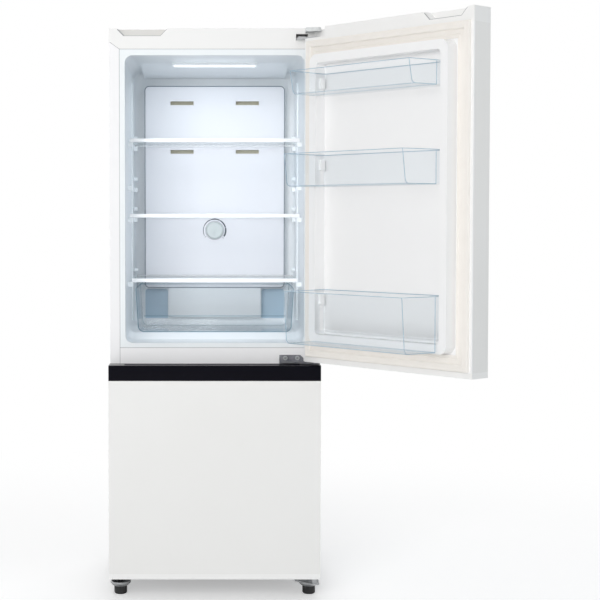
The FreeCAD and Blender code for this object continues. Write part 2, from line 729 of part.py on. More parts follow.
def shelf_rests():
    """Moulded rests for each shelf height, in front and rear pairs, and a round stop above each rear one."""
    rests = []
    for level_number, level in enumerate(rest_levels):
        top = level - s.seat
        for side_name, side in (("Left", -1), ("Right", 1)):
            x = sided(side, s.cavity_half - s.rest_reach, s.cavity_half + s.liner_wall / 2)
            for row_number in range(2):
                front = s.rest_front + row_number * s.rest_pitch
                rests.append(block(
                    "Rest%s%d%d" % (side_name, level_number, row_number), x, (front, front + s.rest_length),
                    (top - s.rest_height, top)))
            rests.append(rod(
                "Stop%s%d" % (side_name, level_number), "X",
                (x[0], s.rest_front + s.rest_pitch + s.rest_length / 2, level + s.stop_height),
                s.stop_radius, x[1] - x[0]))
    return rests


def wall_panels():
    """The raised rear panels of the side walls, the boss behind the crisper, and the lamp's housing."""
    rear = s.cavity_rear + s.liner_wall / 2
    panels = [
        block(
            "WallPanel" + side_name, sided(side, s.cavity_half - s.pad_rise, s.cavity_half + s.liner_wall / 2),
            (s.pad_front, s.cavity_rear - s.cavity_corner - s.pad_rise),
            (crisper_floor + s.cavity_corner + s.pad_rise,
             s.fridge_ceiling - s.housing_drop - s.cavity_corner - s.pad_rise))
        for side_name, side in (("Left", -1), ("Right", 1))
    ]
    boss = block("RearBoss", (-s.boss_half, s.boss_half), (s.duct_face, rear),
                 (crisper_floor + s.cavity_corner + s.pad_rise, s.duct_low))
    top, housing_rear = s.fridge_ceiling + s.liner_wall / 2, s.cavity_rear - s.cavity_corner
    housing = prism(
        "LampHousing", "YZ",
        [(s.lamp_rear, top), (s.lamp_rear, s.fridge_ceiling), (housing_rear, s.fridge_ceiling - s.housing_drop),
         (housing_rear, top)],
        -s.duct_half, s.duct_half,
    )
    return [*panels, boss, housing]


def fridge_liner():
    """The fridge compartment's moulded liner: a wall round the cavity, a front rim and the shelf rests."""
    envelope = fridge_cavity("FridgeEnvelope", s.liner_wall)
    rim = block("FridgeRim", (-rim_half, rim_half), (0, s.liner_wall), (fridge_rim_low, fridge_rim_top))
    cavity = fridge_cavity("FridgeCavity", as_size(0))
    shell = cut("FridgeShell", fuse("FridgeSolid", envelope, rim), cavity)
    deliver("fridge_liner", fuse("FridgeLinerBody", shell, *shelf_rests(), *wall_panels()))
    return envelope, rim


def drawer_ledges():
    """Ledges on the freezer's side walls that carry the two upper drawers."""
    return [
        block(
            "Ledge%s%d" % (side_name, number),
            sided(side, s.cavity_half - s.ledge_width, s.cavity_half + s.liner_wall / 2),
            (s.drawer_front, step_front - s.cavity_corner),
            (s.drawer_ledge + number * s.drawer_pitch - s.ledge_height, s.drawer_ledge + number * s.drawer_pitch))
        for number in range(2) for side_name, side in (("Left", -1), ("Right", 1))
    ]


def freezer_liner():
    """The freezer compartment's moulded liner."""
    envelope = freezer_cavity("FreezerEnvelope", s.liner_wall)
    rim = block("FreezerRim", (-rim_half, rim_half), (0, s.liner_wall), (freezer_rim_low, freezer_rim_top))
    cavity = freezer_cavity("FreezerCavity", as_size(0))
    shell = cut("FreezerShell", fuse("FreezerSolid", envelope, rim), cavity)
    deliver("freezer_liner", fuse("FreezerLinerBody", shell, *drawer_ledges()))
    return envelope, rim


def cabinet_foam(hollows):
    """The foam that fills the cabinet between its skins and its liners."""
    core = block("FoamCore", (-skin_half, skin_half), (s.sheet, back_inner - s.sheet), (pan_floor, trim_low))
    cap = block("FoamCap", *top_hollow())
    machine = block(
        "FoamMachine", (-half, half), (s.machine_front, s.cabinet_depth), (s.cabinet_floor, s.machine_top))
    shanks = [
        rod("FoamShank%d" % number, "Y", (across, 0, screw_height), s.screw_radius, s.screw_length)
        for number, across in enumerate(screw_spots)
    ]
    deliver("cabinet_foam", cut("FoamCut", fuse("FoamBody", core, cap), machine, *hollows, *shanks))


# ---------------------------------------------------------------- inside the fridge


def duct_cover():
    """The air duct's moulded front, a shallow tray with four slots and the dial's ring."""
    tray = prism(
        "DuctTray", "XZ",
        [(-s.duct_half, s.duct_low), (s.duct_half, s.duct_low), (s.duct_half, s.duct_high),
         (-s.duct_half, s.duct_high)],
        s.duct_face, s.cavity_rear,
    )
    soften(tray, s.duct_corner, lambda edge: runs_along(edge, "Y"))
    hollow = block("DuctHollow", *duct_hollow())
    ring = rod(
        "DialRing", "Y", (0, s.duct_face - s.duct_wall / 2, s.dial_height), s.dial_ring, s.duct_wall / 2)
    bore = rod(
        "DialBore", "Y", (0, s.duct_face - s.duct_wall, s.dial_height), s.dial_shaft + s.running,
        2 * s.duct_wall)
    slots = []
    for row_number, low in enumerate((s.vent_upper, s.vent_upper - s.vent_row_gap)):
        for side_name, side in (("Left", -1), ("Right", 1)):
            ends = (side * s.vent_inner, side * (s.vent_inner + s.vent_length))
            slots.append(block(
                "Vent%s%d" % (side_name, row_number), ends if side > 0 else ends[::-1],
                (s.duct_face, s.duct_face + s.duct_wall), (low, low + s.vent_height)))
    deliver("duct_cover", cut("DuctCoverCut", fuse("DuctCoverBody", tray, ring), hollow, bore, *slots))


def duct_hollow():
    """The bounds of the space inside the duct cover."""
    wall = s.duct_corner
    return (
        (-(s.duct_half - wall), s.duct_half - wall),
        (s.duct_face + s.duct_wall, s.cavity_rear),
        (s.duct_low + wall, s.duct_high - wall),
    )


def duct_foam():
    """The foamed air channel behind the duct cover, with a pocket for the air shutter."""
    body = block("DuctFoamBlock", *duct_hollow())
    channels = []
    low, high = s.dial_height - s.vent_height, s.vent_upper + 2 * s.vent_height
    face = s.duct_face + s.duct_wall
    for side_name, side in (("Left", -1), ("Right", 1)):
        ends = (side * s.vent_inner, side * (s.vent_inner + s.vent_length))
        channels.append(block(
            "Channel" + side_name, ends if side > 0 else ends[::-1], (face, face + s.channel_depth), (low, high)))
    gallery = block(
        "Gallery", (-s.vent_inner, s.vent_inner), (face, face + s.channel_depth),
        (low, s.dial_height + s.vent_height))
    pocket = rod("ShutterPocket", "Y", (0, face, s.dial_height), s.shutter_radius + 2 * s.play, s.channel_depth)
    deliver("duct_foam", cut("DuctFoamCut", body, pocket, gallery, *channels))


def thermostat_dial():
    """The air control: dial with its pointer, shaft and round shutter, in one moulding."""
    top = s.dial_reach - s.pointer_rise
    knob = turned("DialKnob", [
        (0, s.seat), (s.dial_radius, s.seat), (s.dial_radius - s.dial_bevel * 0.3, top - s.pointer_rise),
        (s.dial_radius - s.dial_bevel, top), (0, top)])
    shaft_end = s.duct_wall + s.channel_depth / 2
    shaft = rod("DialShaft", "Z", (0, 0, -shaft_end), s.dial_shaft, shaft_end + 2 * s.seat)
    pointer = block(
        "DialPointer", (-s.pointer_rise, s.pointer_rise), (-s.dial_radius / 3, s.dial_radius - s.dial_bevel),
        (top - s.pointer_rise, s.dial_reach))
    shutter = rod("DialShutter", "Z", (0, 0, -shaft_end), s.shutter_radius, s.shutter_thick)
    window = block("DialWindow", (0, s.shutter_radius), (0, s.shutter_radius), (-shaft_end, -s.duct_wall))
    plate = cut("DialShutterCut", shutter, window)
    dial = deliver("thermostat_dial", fuse("DialBody", knob, shaft, pointer, plate))
    dial.setExpression(
        "Placement",
        "placement(vector(0; %s; %s); rotation(vector(0; 1; 0); %s) * rotation(vector(1; 0; 0); 90))"
        % ((s.duct_face - s.duct_wall / 2).text, s.dial_height.text, (-s.dial_turn).text),
    )


def lamp_lens():
    """The lamp's lens, a bar under the ceiling with its lower front edge cut away."""
    rear = s.lamp_rear
    front = rear - s.lamp_depth
    low = s.fridge_ceiling - s.lamp_height
    deliver("lamp_lens", prism(
        "LampLens", "YZ",
        [(front, s.fridge_ceiling), (front, low + s.lamp_height / 4), (front + s.lamp_height / 4, low),
         (rear, low), (rear, s.fridge_ceiling)],
        -s.lamp_half, s.lamp_half,
    ))


def shelf(node, level, reach):
    """A glass shelf, with a trim along its front and its rear edge."""
    depth, groove = s.shelf_depth, s.band_depth / 2
    low = (s.band_height - s.glass) / 2
    glass = block(node + "Glass", (-reach, reach), (groove, depth - groove), (low, low + s.glass))
    bars = []
    for end, start in (("Front", as_size(0)), ("Rear", depth - s.band_depth)):
        bar = prism(
            node + end + "Bar", "YZ",
            [(start, 0), (start + s.band_depth, 0), (start + s.band_depth, s.band_height), (start, s.band_height)],
            -reach, reach,
        )
        outer = start if end == "Front" else depth
        soften(bar, s.band_height / 5, lambda edge, at=outer: runs_along(edge, "X") and lies_at(edge, "Y", at))
        bars.append(bar)
    trim = cut(node + "TrimCut", group(node + "Bars", *bars), glass)
    for piece, name in ((group(node + "Pane", glass), "glass"), (trim, "trim")):
        deliver(node + "_" + name, place(piece, 0, s.shelf_front, level))


def crisper_drawer():
    """The clear crisper: narrower at its floor, with rounded corners and a grip ridge along its front."""
    top, wall = s.crisper_height, s.clear_wall
    wide, narrow = s.crisper_half, s.crisper_half - s.crisper_draft

    def tub(name, inset, low, rear, front, high):
        shape = prism(
            name, "XZ",
            [(-(wide - inset), high), (-(narrow - inset), low), (narrow - inset, low), (wide - inset, high)],
            front, rear,
        )
        return soften(shape, s.crisper_corner - inset, lambda edge: runs_along(edge, "Y")
                      and lies_at(edge, "Z", low))

    outer = tub("CrisperOuter", as_size(0), as_size(0), s.crisper_depth, as_size(0), top)
    inner = tub("CrisperInner", wall, wall, s.crisper_depth - wall, wall, top)
    ridge = prism(
        "CrisperRidge", "YZ",
        [(0, top / 3 + wall), (-wall, top / 3), (0, top / 3 - wall)],
        -(narrow - s.crisper_corner), narrow - s.crisper_corner,
    )
    corners = [
        prism(
            "CrisperCorner" + side_name, "XZ",
            [(side * wide, top), (side * wide, top - s.crisper_chamfer), (side * (wide - s.crisper_chamfer), top)],
            -wall, wall * 2,
        )
        for side_name, side in (("Left", -1), ("Right", 1))
    ]
    shell = cut("CrisperShell", outer, inner, *corners)
    drawer = deliver("crisper_drawer", fuse("CrisperBody", shell, ridge))
    place(drawer, 0, s.crisper_front, crisper_floor + s.seat)


# ---------------------------------------------------------------- inside the freezer


def freezer_drawer(node, low, height, depth):
    """A freezer drawer: an open tub with a bevelled grip along its front's upper edge."""
    wall, reach = s.drawer_wall, s.drawer_half
    outer = prism(
        node + "Outer", "YZ",
        [(0, 0), (depth, 0), (depth, height - 3 * wall), (depth / 3, height - 3 * wall), (depth / 4, height),
         (-2 * wall, height), (-2 * wall, height - 4 * wall), (0, height - 6 * wall)],
        -reach, reach,
    )
    inner = block(node + "Inner", (-(reach - wall), reach - wall), (wall, depth - wall), (wall, height + wall))
    drawer = deliver(node, cut(node + "Shell", outer, inner))
    place(drawer, 0, s.drawer_front, low + s.seat)


def evaporator_parts():
    """The evaporator behind its cover, with the fan above it."""
    wall = s.drawer_wall
    reach = s.cavity_half - s.cavity_corner - wall
    top = s.freezer_ceiling
    plate = block("CoolerPlate", (-reach, reach), (s.cooler_face, s.cooler_face + wall), (s.cooler_low, top))
    feet = [
        block("CoolerFoot" + name, (low, high), (s.cooler_face, s.cavity_rear - s.cavity_corner),
              (top - wall, top))
        for name, low, high in (("Left", -reach, -reach / 2), ("Right", reach / 2, reach))
    ]
    mouth = rod(
        "FanMouth", "Y", (0, s.cooler_face, s.fan_height), s.fan_radius + 2 * s.play, wall)
    slots = [
        block("CoolerSlot%d" % number, (-reach / 2, reach / 2), (s.cooler_face, s.cooler_face + wall),
              (s.cooler_low + wall * (2 + 4 * number), s.cooler_low + wall * (4 + 4 * number)))
        for number in range(3)
    ]
    deliver("evaporator_cover", cut("CoolerCut", fuse("CoolerBody", plate, *feet), mouth, *slots))
    evaporator_coil(reach)
    fan(wall)


def evaporator_coil(reach):
    """Straight tube passes through a row of fins, with the passes' ends joined by end plates."""
    inside = reach - 2 * s.tube
    low, high = s.cooler_low + 3 * s.tube, s.fan_height - s.fan_radius - 3 * s.tube
    front, rear = s.cooler_face + 2 * s.tube, s.cavity_rear
    passes = [
        rod("CoolerPass%d%d" % (row_number, column), "X",
            (-inside, front + (rear - front) * (1 + 2 * column) / 4, low + (high - low) * (1 + 2 * row_number) / 6),
            s.tube, 2 * inside)
        for row_number in range(3) for column in range(2)
    ]
    count = 12
    fins = [
        block("Fin%d" % number,
              (-inside + 2 * inside * number / count, -inside + 2 * inside * number / count + s.sheet),
              (front, rear), (low, high))
        for number in range(count)
    ]
    end = block("EndFin", (inside - s.sheet, inside), (front, rear), (low, high))
    deliver("evaporator", fuse("EvaporatorBody", *passes, *fins, end))


def fan(wall):
    """The circulation fan: five blades on a hub, and the motor held to the cover by three arms."""
    hub_radius = s.fan_radius / 3
    blade_front = s.cooler_face + 2 * wall
    hub_length = 6 * wall
    hub = rod("FanHub", "Y", (0, blade_front, s.fan_height), hub_radius, hub_length)
    blades = []
    blade_count = 5
    for number in range(blade_count):
        blade = block(
            "FanBlade%d" % number, (hub_radius - wall, s.fan_radius - wall), (-wall / 2, wall / 2),
            (-4 * wall, 4 * wall))
        pitch = Rotation(Vector(1, 0, 0), 50)
        around = Rotation(Vector(0, 1, 0), number * 360 / blade_count)
        holder = group("FanBladeTurned%d" % number, blade)
        holder.Placement.Rotation = around * pitch
        place(holder, 0, blade_front + hub_length / 2, s.fan_height)
        blades.append(holder)
    sweep = rod("FanSweep", "Y", (0, blade_front, s.fan_height), s.fan_radius, hub_length)
    blade_set = common("FanBladeSet", fuse("FanBladesRaw", *blades), sweep)
    shaft_radius = s.axle_radius
    bore = rod("FanBore", "Y", (0, blade_front, s.fan_height), shaft_radius + s.running, hub_length)
    deliver("fan_blade", cut("FanBladeCut", fuse("FanBladeBody", hub, blade_set), bore))
    motor_front = blade_front + hub_length + wall
    motor = rod("FanMotorCan", "Y", (0, motor_front, s.fan_height), hub_radius * 1.3, s.cavity_rear - motor_front)
    shaft = rod("FanShaft", "Y", (0, blade_front + wall, s.fan_height), shaft_radius,
                motor_front - blade_front)
    deliver("fan_motor", fuse("FanMotorBody", motor, shaft))


# ---------------------------------------------------------------- doors


def ring_block(name, outer_half, inner_half, low, high, width, y):
    """A rectangular ring of one width, between two places along Y."""
    outer = block(name + "Outer", (-outer_half, outer_half), y, (low, high))
    inner = block(name + "Inner", (-inner_half, inner_half), y, (low + width, high - width))
    return cut(name, outer, inner)


def gasket(node, low, high):
    """A door gasket: a flat flap with the magnet's bellows along its outer edge."""
    outer = half - s.gasket_inset
    flap = ring_block(node + "Flap", outer, outer - s.gasket_width, low, high, s.gasket_width,
                      (door_back, door_back + s.flap))
    bellows = ring_block(node + "Bellows", outer, outer - s.bellows_width, low, high, s.bellows_width,
                         (door_back + s.flap, -s.gasket_air))
    return fuse(node + "Ring", flap, bellows)


def door_skin(node, low, high):
    """A door's outer skin: front, two sides and a hem along each side."""
    inner_front = door_front + s.sheet
    hem_front = liner_back - s.sheet
    hem_end = half - s.hem
    return prism(
        node + "Sheet", "XY",
        [(-half, liner_back), (-half, door_front), (half, door_front), (half, liner_back),
         (hem_end, liner_back), (hem_end, hem_front), (skin_half, hem_front), (skin_half, inner_front),
         (-skin_half, inner_front), (-skin_half, hem_front), (-hem_end, hem_front), (-hem_end, liner_back)],
        low, high,
    )


def door_foam(name, low, high):
    """The bounds of the foam inside a door's skin, up to the hems and between them."""
    body = block(
        name + "Body", (-skin_half, skin_half), (door_front + s.sheet, liner_back - s.sheet), (low, high))
    between = block(
        name + "Between", (-(half - s.hem), half - s.hem), (liner_back - s.sheet, liner_back), (low, high))
    return body, between


def dyke_places(low, high):
    """The outer and inner edges of a door's dykes, between the flaps of its gasket."""
    margin = s.gasket_width + s.dyke_gap
    return half - s.gasket_inset - margin, low + margin, high - margin


def dyke_ring(name, low, high, inset, front, rear):
    """The ring of dykes, or the space inside them when it is drawn with an inset."""
    outer_half, outer_low, outer_high = dyke_places(low, high)
    width = s.dyke_width
    outer = prism(
        name + "Outer", "XZ",
        [(-(outer_half - inset), outer_low + inset), (outer_half - inset, outer_low + inset),
         (outer_half - inset, outer_high - inset), (-(outer_half - inset), outer_high - inset)],
        front, rear,
    )
    soften(outer, s.dyke_corner - inset, lambda edge: runs_along(edge, "Y"))
    hole_half = outer_half - width + inset
    hole = prism(
        name + "Hole", "XZ",
        [(-hole_half, outer_low + width - inset), (hole_half, outer_low + width - inset),
         (hole_half, outer_high - width + inset), (-hole_half, outer_high - width + inset)],
        front, rear,
    )
    soften(hole, s.dyke_corner / 2 + inset, lambda edge: runs_along(edge, "Y"))
    return cut(name, outer, hole)


def pin_bore(name, low, length):
    return rod(name, "Z", (s.hinge_x, s.hinge_y, low), s.pin_radius + s.running, length)


BINS = (
    ("top", s.top_bin_low, s.top_bin_height, s.top_bin_front, None),
    ("middle", s.middle_bin_low, s.middle_bin_height, s.deep_bin_front, None),
    ("bottom", s.bottom_bin_low, s.bottom_bin_height, s.deep_bin_front, s.bottom_bin_step),
)


def lug_places(low, height):
    """The bounds of a bin's lug along Y and Z: it sits in the upper part of the bin's slot."""
    rear = s.dyke_height / 3
    top = low + height - s.lug_height / 2
    return (rear - s.lug_width, rear), (top - s.lug_height, top)


def fridge_door():
    """The fridge door: skin, foam, caps, liner with dykes and bin lugs, and gasket."""
    low, high = s.fridge_door_low, s.fridge_door_high
    cap_low, cap_high = low + s.bottom_cap, high - s.top_cap
    gasket_low, gasket_high = low + s.gasket_low, high - s.gasket_top
    dyke_face = door_back + s.dyke_height

    swing(deliver("fridge_door_skin", door_skin("FridgeSkin", cap_low, cap_high)))

    core = dyke_ring("FridgeDykeCore", gasket_low, gasket_high, s.dyke_wall, liner_back,
                     dyke_face - s.dyke_wall)
    body, between = door_foam("FridgeDoorFoam", cap_low, cap_high)
    swing(deliver("fridge_door_foam", fuse("FridgeDoorFoamBody", body, between, core)))

    top = block("TopCapBlock", (-half, half), (door_front, door_back), (cap_high, high))
    notch_left = s.slot_left - s.cup_wall * 3
    notch = block(
        "TopCapNotch", (notch_left, half), (s.hinge_y - s.arm_radius - s.play, door_back),
        (high - s.notch_floor, high))
    recess = finger_recess("TopCapRecess", high, -1, door_back - s.grip_depth, door_back)
    pin_top = high - s.notch_floor
    top_bore = pin_bore("TopCapBore", pin_top - s.pin_length + s.play, s.pin_length - s.play)
    top_cap = cut("TopCapCut", top, notch, recess, top_bore)
    bottom = block("BottomCapBlock", (-half, half), (door_front, door_back), (low, cap_low))
    bottom_bore = pin_bore("BottomCapBore", low, s.pin_length)
    bottom_cap = cut("BottomCapCut", bottom, bottom_bore)
    swing(deliver("fridge_door_caps", group("FridgeDoorCaps", top_cap, bottom_cap)))

    plate = block("FridgeDoorPlate", (-half, half), (liner_back, door_back), (cap_low, cap_high))
    dykes = dyke_ring("FridgeDykes", gasket_low, gasket_high, as_size(0), liner_back, dyke_face)
    core_space = dyke_ring("FridgeDykeSpace", gasket_low, gasket_high, s.dyke_wall, liner_back,
                           dyke_face - s.dyke_wall)
    inner_half = dyke_places(gasket_low, gasket_high)[0] - s.dyke_width
    lugs = []
    for bin_name, bin_low, bin_height, _front, _step in BINS:
        y, z = lug_places(bin_low, bin_height)
        for side_name, side in (("Left", -1), ("Right", 1)):
            ends = (side * (inner_half - s.lug_reach), side * (inner_half + s.dyke_wall / 2))
            lugs.append(block("Lug%s%s" % (bin_name, side_name), ends if side > 0 else ends[::-1], y, z))
    panel_low, panel_high = gasket_low + s.gasket_width + s.dyke_width + s.panel_air, s.top_bin_low - s.panel_air
    panel = prism(
        "RaisedPanel", "XZ",
        [(-s.panel_half, panel_low), (s.panel_half, panel_low), (s.panel_half, panel_high),
         (-s.panel_half, panel_high)],
        liner_back, door_back + s.panel_rise,
    )
    soften(panel, s.dyke_corner, lambda edge: runs_along(edge, "Y"))
    shell = cut("FridgeDoorShell", fuse("FridgeDoorPanel", plate, dykes, panel), core_space)
    swing(deliver("fridge_door_liner", fuse("FridgeDoorLinerBody", shell, *lugs)))

    swing(deliver("fridge_door_gasket", gasket("FridgeGasket", gasket_low, gasket_high)))


def door_bin(name, low, height, front, step):
    """A clear bin that hangs on two lugs: open at the top, with one front corner cut away.

    The bottom bin's rear part is raised by a step, over the lower dyke.
    """
    node = "door_bin_" + name
    inner_half = half - s.gasket_inset - s.gasket_width - s.dyke_gap - s.dyke_width
    reach = inner_half - s.bin_gap
    rear = door_back + s.panel_rise + s.seat
    wall = s.clear_wall

    def tub(label, inset, base, top):
        heel = [(rear + inset, base)]
        if step is not None:
            over = door_back + s.dyke_height + s.bin_gap + inset
            heel = [(rear + inset, base + step), (over, base + step), (over, base)]
        profile = prism(
            node + label + "Profile", "YZ",
            [*heel, (front - s.bin_lean - inset, base), (front - inset, top), (rear + inset, top)],
            -reach, reach,
        )
        soften(profile, s.bin_corner - inset, lambda edge: runs_along(edge, "X")
               and lies_at(edge, "Z", base) and lies_at(edge, "Y", front - s.bin_lean - inset))
        plan = prism(
            node + label + "Plan", "XY",
            [(-(reach - inset), rear + inset), (reach - inset, rear + inset), (reach - inset, front - inset),
             (-(reach - s.bin_corner - inset), front - inset), (-(reach - inset), s.dyke_height)],
            base, top,
        )
        return common(node + label, profile, plan)

    outer = tub("Outer", as_size(0), low, low + height)
    inner = tub("Inner", wall, low + wall, low + height + wall)
    lug_y, lug_z = lug_places(low, height)
    slots = []
    for side_name, side in (("Left", -1), ("Right", 1)):
        ends = (side * (reach - s.lug_reach), side * (reach + s.bin_gap))
        slots.append(block(
            node + "Slot" + side_name, ends if side > 0 else ends[::-1],
            (lug_y[0] - s.seat, lug_y[1] + s.seat), (low, lug_z[1] + s.seat)))
    swing(deliver(node, cut(node + "Shell", outer, inner, *slots)))


def freezer_door():
    """The freezer door: skin, foam, black handle cap, bottom cap, flat liner and gasket."""
    low, high = s.freezer_door_low, s.freezer_door_high
    cap_low, cap_high = low + s.bottom_cap, high - s.handle_height
    gasket_low, gasket_high = low + s.gasket_low, high - s.freezer_gasket_top
    liner_top = gasket_high + s.play

    deliver("freezer_door_skin", door_skin("FreezerSkin", cap_low, cap_high))
    deliver("freezer_door_foam", fuse("FreezerDoorFoamBody", *door_foam("FreezerDoorFoam", cap_low, cap_high)))

    handle = prism(
        "HandleProfile", "YZ",
        [(door_front, cap_high), (door_front, high - s.handle_bevel), (door_front + s.handle_bevel, high), (door_back, high),
         (door_back, liner_top), (liner_back, liner_top), (liner_back, cap_high)],
        -half, half,
    )
    channel_front = door_front + s.handle_lip
    channel = block(
        "HandleChannel", (-(half - s.handle_inset), s.hinge_x - s.handle_inset),
        (channel_front, channel_front + s.handle_slot), (high - s.handle_slot_depth, high))
    bore = pin_bore("HandleBore", high - s.pin_length, s.pin_length)
    deliver("freezer_handle_cap", cut("HandleCut", handle, channel, bore))

    bottom = block("FreezerCapBlock", (-half, half), (door_front, door_back), (low, cap_low))
    bottom_bore = pin_bore("FreezerCapBore", low, s.pin_length)
    deliver("freezer_door_cap", cut("FreezerCapCut", bottom, bottom_bore))

    deliver("freezer_door_liner", block(
        "FreezerDoorPlate", (-half, half), (liner_back, door_back), (cap_low, liner_top)))
    deliver("freezer_door_gasket", gasket("FreezerGasket", gasket_low, gasket_high))


# ---------------------------------------------------------------- hinges and screws


def hinge_pin(name, low, length):
    return rod(name, "Z", (s.hinge_x, s.hinge_y, low), s.pin_radius, length)


def arm_end(name, low, thick):
    return rod(name, "Z", (s.hinge_x, s.hinge_y, low), s.arm_radius, thick)


def top_hinge():
    """The top hinge: a steel arm out of the trim's slot, its pin, and the moulded cover over it."""
    low = s.slot_low
    left, right = s.slot_left + s.play, s.slot_left + s.slot_width - s.play
    rear = s.trim_depth - 2 * s.play
    tip_x, tip_y = s.hinge_x - s.arm_radius * 0.6, s.hinge_y - s.arm_radius * 0.8
    arm = prism(
        "TopArm", "XY",
        [(left, rear), (left, s.hinge_y / 2), (tip_x, tip_y), (s.hinge_x, s.hinge_y),
         (s.hinge_x + s.arm_radius * 0.7, s.hinge_y + s.arm_radius * 0.7), (right, -s.play), (right, rear)],
        low, low + s.arm_thick,
    )
    pin_low = s.fridge_door_high - s.notch_floor - s.pin_length + 2 * s.play
    pin = hinge_pin("TopPin", pin_low, low - pin_low)
    rib = block("TopRib", (left + s.arm_thick, right - s.arm_thick), (2 * s.play, rear),
                (low + s.arm_thick, low + s.slot_height - s.arm_thick * 1.5))
    deliver("top_hinge", fuse("TopHingeBody", arm, arm_end("TopArmEnd", low, s.arm_thick), pin, rib))
    cover_low = s.hinge_cover_low
    shade = block(
        "HingeCoverPlate", (s.hinge_x - s.hinge_cover_reach, s.hinge_x),
        (s.hinge_y - s.arm_radius / 2, 0), (cover_low, cover_low + s.hinge_cover_height))
    round_end = arm_end("HingeCoverEnd", cover_low, s.hinge_cover_height)
    deliver("top_hinge_cover", fuse("HingeCoverBody", shade, round_end))


def middle_hinge():
    """The middle hinge: a plate screwed to the beam, and an arm between the doors with two pins."""
    low = doors_middle - s.arm_thick / 2
    right = s.plate_left + s.plate_width
    corner = 2 * s.arm_thick
    plate = prism(
        "MiddlePlate", "XZ",
        [(s.plate_left, s.plate_low), (right, s.plate_low), (right, plate_top - corner), (right - corner, plate_top),
         (s.plate_left, plate_top)],
        -s.plate_thick, 0,
    )
    holes = [
        rod("PlateHole%d" % number, "Y", (across, -s.plate_thick, screw_height), s.screw_radius, s.plate_thick)
        for number, across in enumerate(screw_spots)
    ]
    arm = prism(
        "MiddleArm", "XY",
        [(s.plate_left, -s.play), (s.plate_left + corner, -s.plate_thick - corner),
         (s.hinge_x - s.arm_radius * 0.6, s.hinge_y - s.arm_radius * 0.8), (s.hinge_x, s.hinge_y),
         (s.hinge_x + s.arm_radius * 0.7, s.hinge_y + s.arm_radius * 0.7), (right, -s.play)],
        low, low + s.arm_thick,
    )
    pin_low = s.freezer_door_high - s.pin_length + s.play
    pin_high = s.fridge_door_low + s.pin_length - s.play
    pin = hinge_pin("MiddlePin", pin_low, pin_high - pin_low)
    body = fuse("MiddleHingeBody", plate, arm, arm_end("MiddleArmEnd", low, s.arm_thick), pin)
    deliver("middle_hinge", cut("MiddleHingeCut", body, *holes))


def bottom_hinge():
    """The bottom hinge: a plate under the base pan, with a shouldered pin up into the freezer door."""
    low = s.cabinet_floor - s.arm_thick
    right = half - s.sheet
    plate = prism(
        "BottomPlate", "XY",
        [(s.slot_left, s.foot_y + s.stud_radius * 2), (s.slot_left, -s.arm_thick),
         (s.hinge_x - s.arm_radius * 0.6, s.hinge_y - s.arm_radius * 0.8), (s.hinge_x, s.hinge_y),
         (right, s.hinge_y), (right, s.foot_y + s.stud_radius * 2)],
        low, s.cabinet_floor,
    )
    shoulder = rod(
        "BottomShoulder", "Z", (s.hinge_x, s.hinge_y, s.cabinet_floor), 2 * s.pin_radius,
        s.freezer_door_low - s.play - s.cabinet_floor)
    pin = hinge_pin("BottomPin", s.cabinet_floor, s.freezer_door_low + s.pin_length - s.play - s.cabinet_floor)
    deliver("bottom_hinge", fuse(
        "BottomHingeBody", plate, arm_end("BottomArmEnd", low, s.arm_thick), shoulder, pin))


def hinge_screws():
    """The middle hinge's two screws, which show, each with a round head and a shank into the beam."""
    screws = []
    for number, across in enumerate(screw_spots):
        head = rod(
            "ScrewHead%d" % number, "Y", (across, -s.plate_thick - s.screw_head_height, screw_height),
            s.screw_head, s.screw_head_height)
        shank = rod("ScrewShank%d" % number, "Y", (across, -s.plate_thick, screw_height), s.screw_radius,
                    s.plate_thick + s.screw_length)
        screws.append(fuse("Screw%d" % number, head, shank))
    deliver("hinge_screws", group("HingeScrews", *screws))


# ---------------------------------------------------------------- feet and rollers


def front_foot(node, side):
    """A levelling foot: a rounded pad and a stud that turns in its bracket."""
    foot = turned(node + "Turned", [
        (0, 0), (s.pad_radius, 0), (s.pad_radius, s.pad_height), (s.stud_radius, s.pad_height),
        (s.stud_radius, s.stud_top), (0, s.stud_top)])
    soften(foot, s.pad_edge, lambda edge: lies_at(edge, "Z", 0) and edge.Curve.TypeId == "Part::GeomCircle")
    deliver(node, place(foot, side * s.foot_x, s.foot_y, 0))


def rear_roller(node, side):
    """A rear roller, bored for its axle."""
    wheel = turned(node + "Turned", [
        (s.axle_radius + s.running, 0), (s.roller_radius - s.play, 0), (s.roller_radius, s.play),
        (s.roller_radius, s.roller_width - s.play), (s.roller_radius - s.play, s.roller_width),
        (s.axle_radius + s.running, s.roller_width)])
    wheel.Placement.Rotation = TURN_FROM_Z["X"]
    deliver(node, place(wheel, side * s.roller_x - s.roller_width / 2, s.roller_y, s.roller_radius))


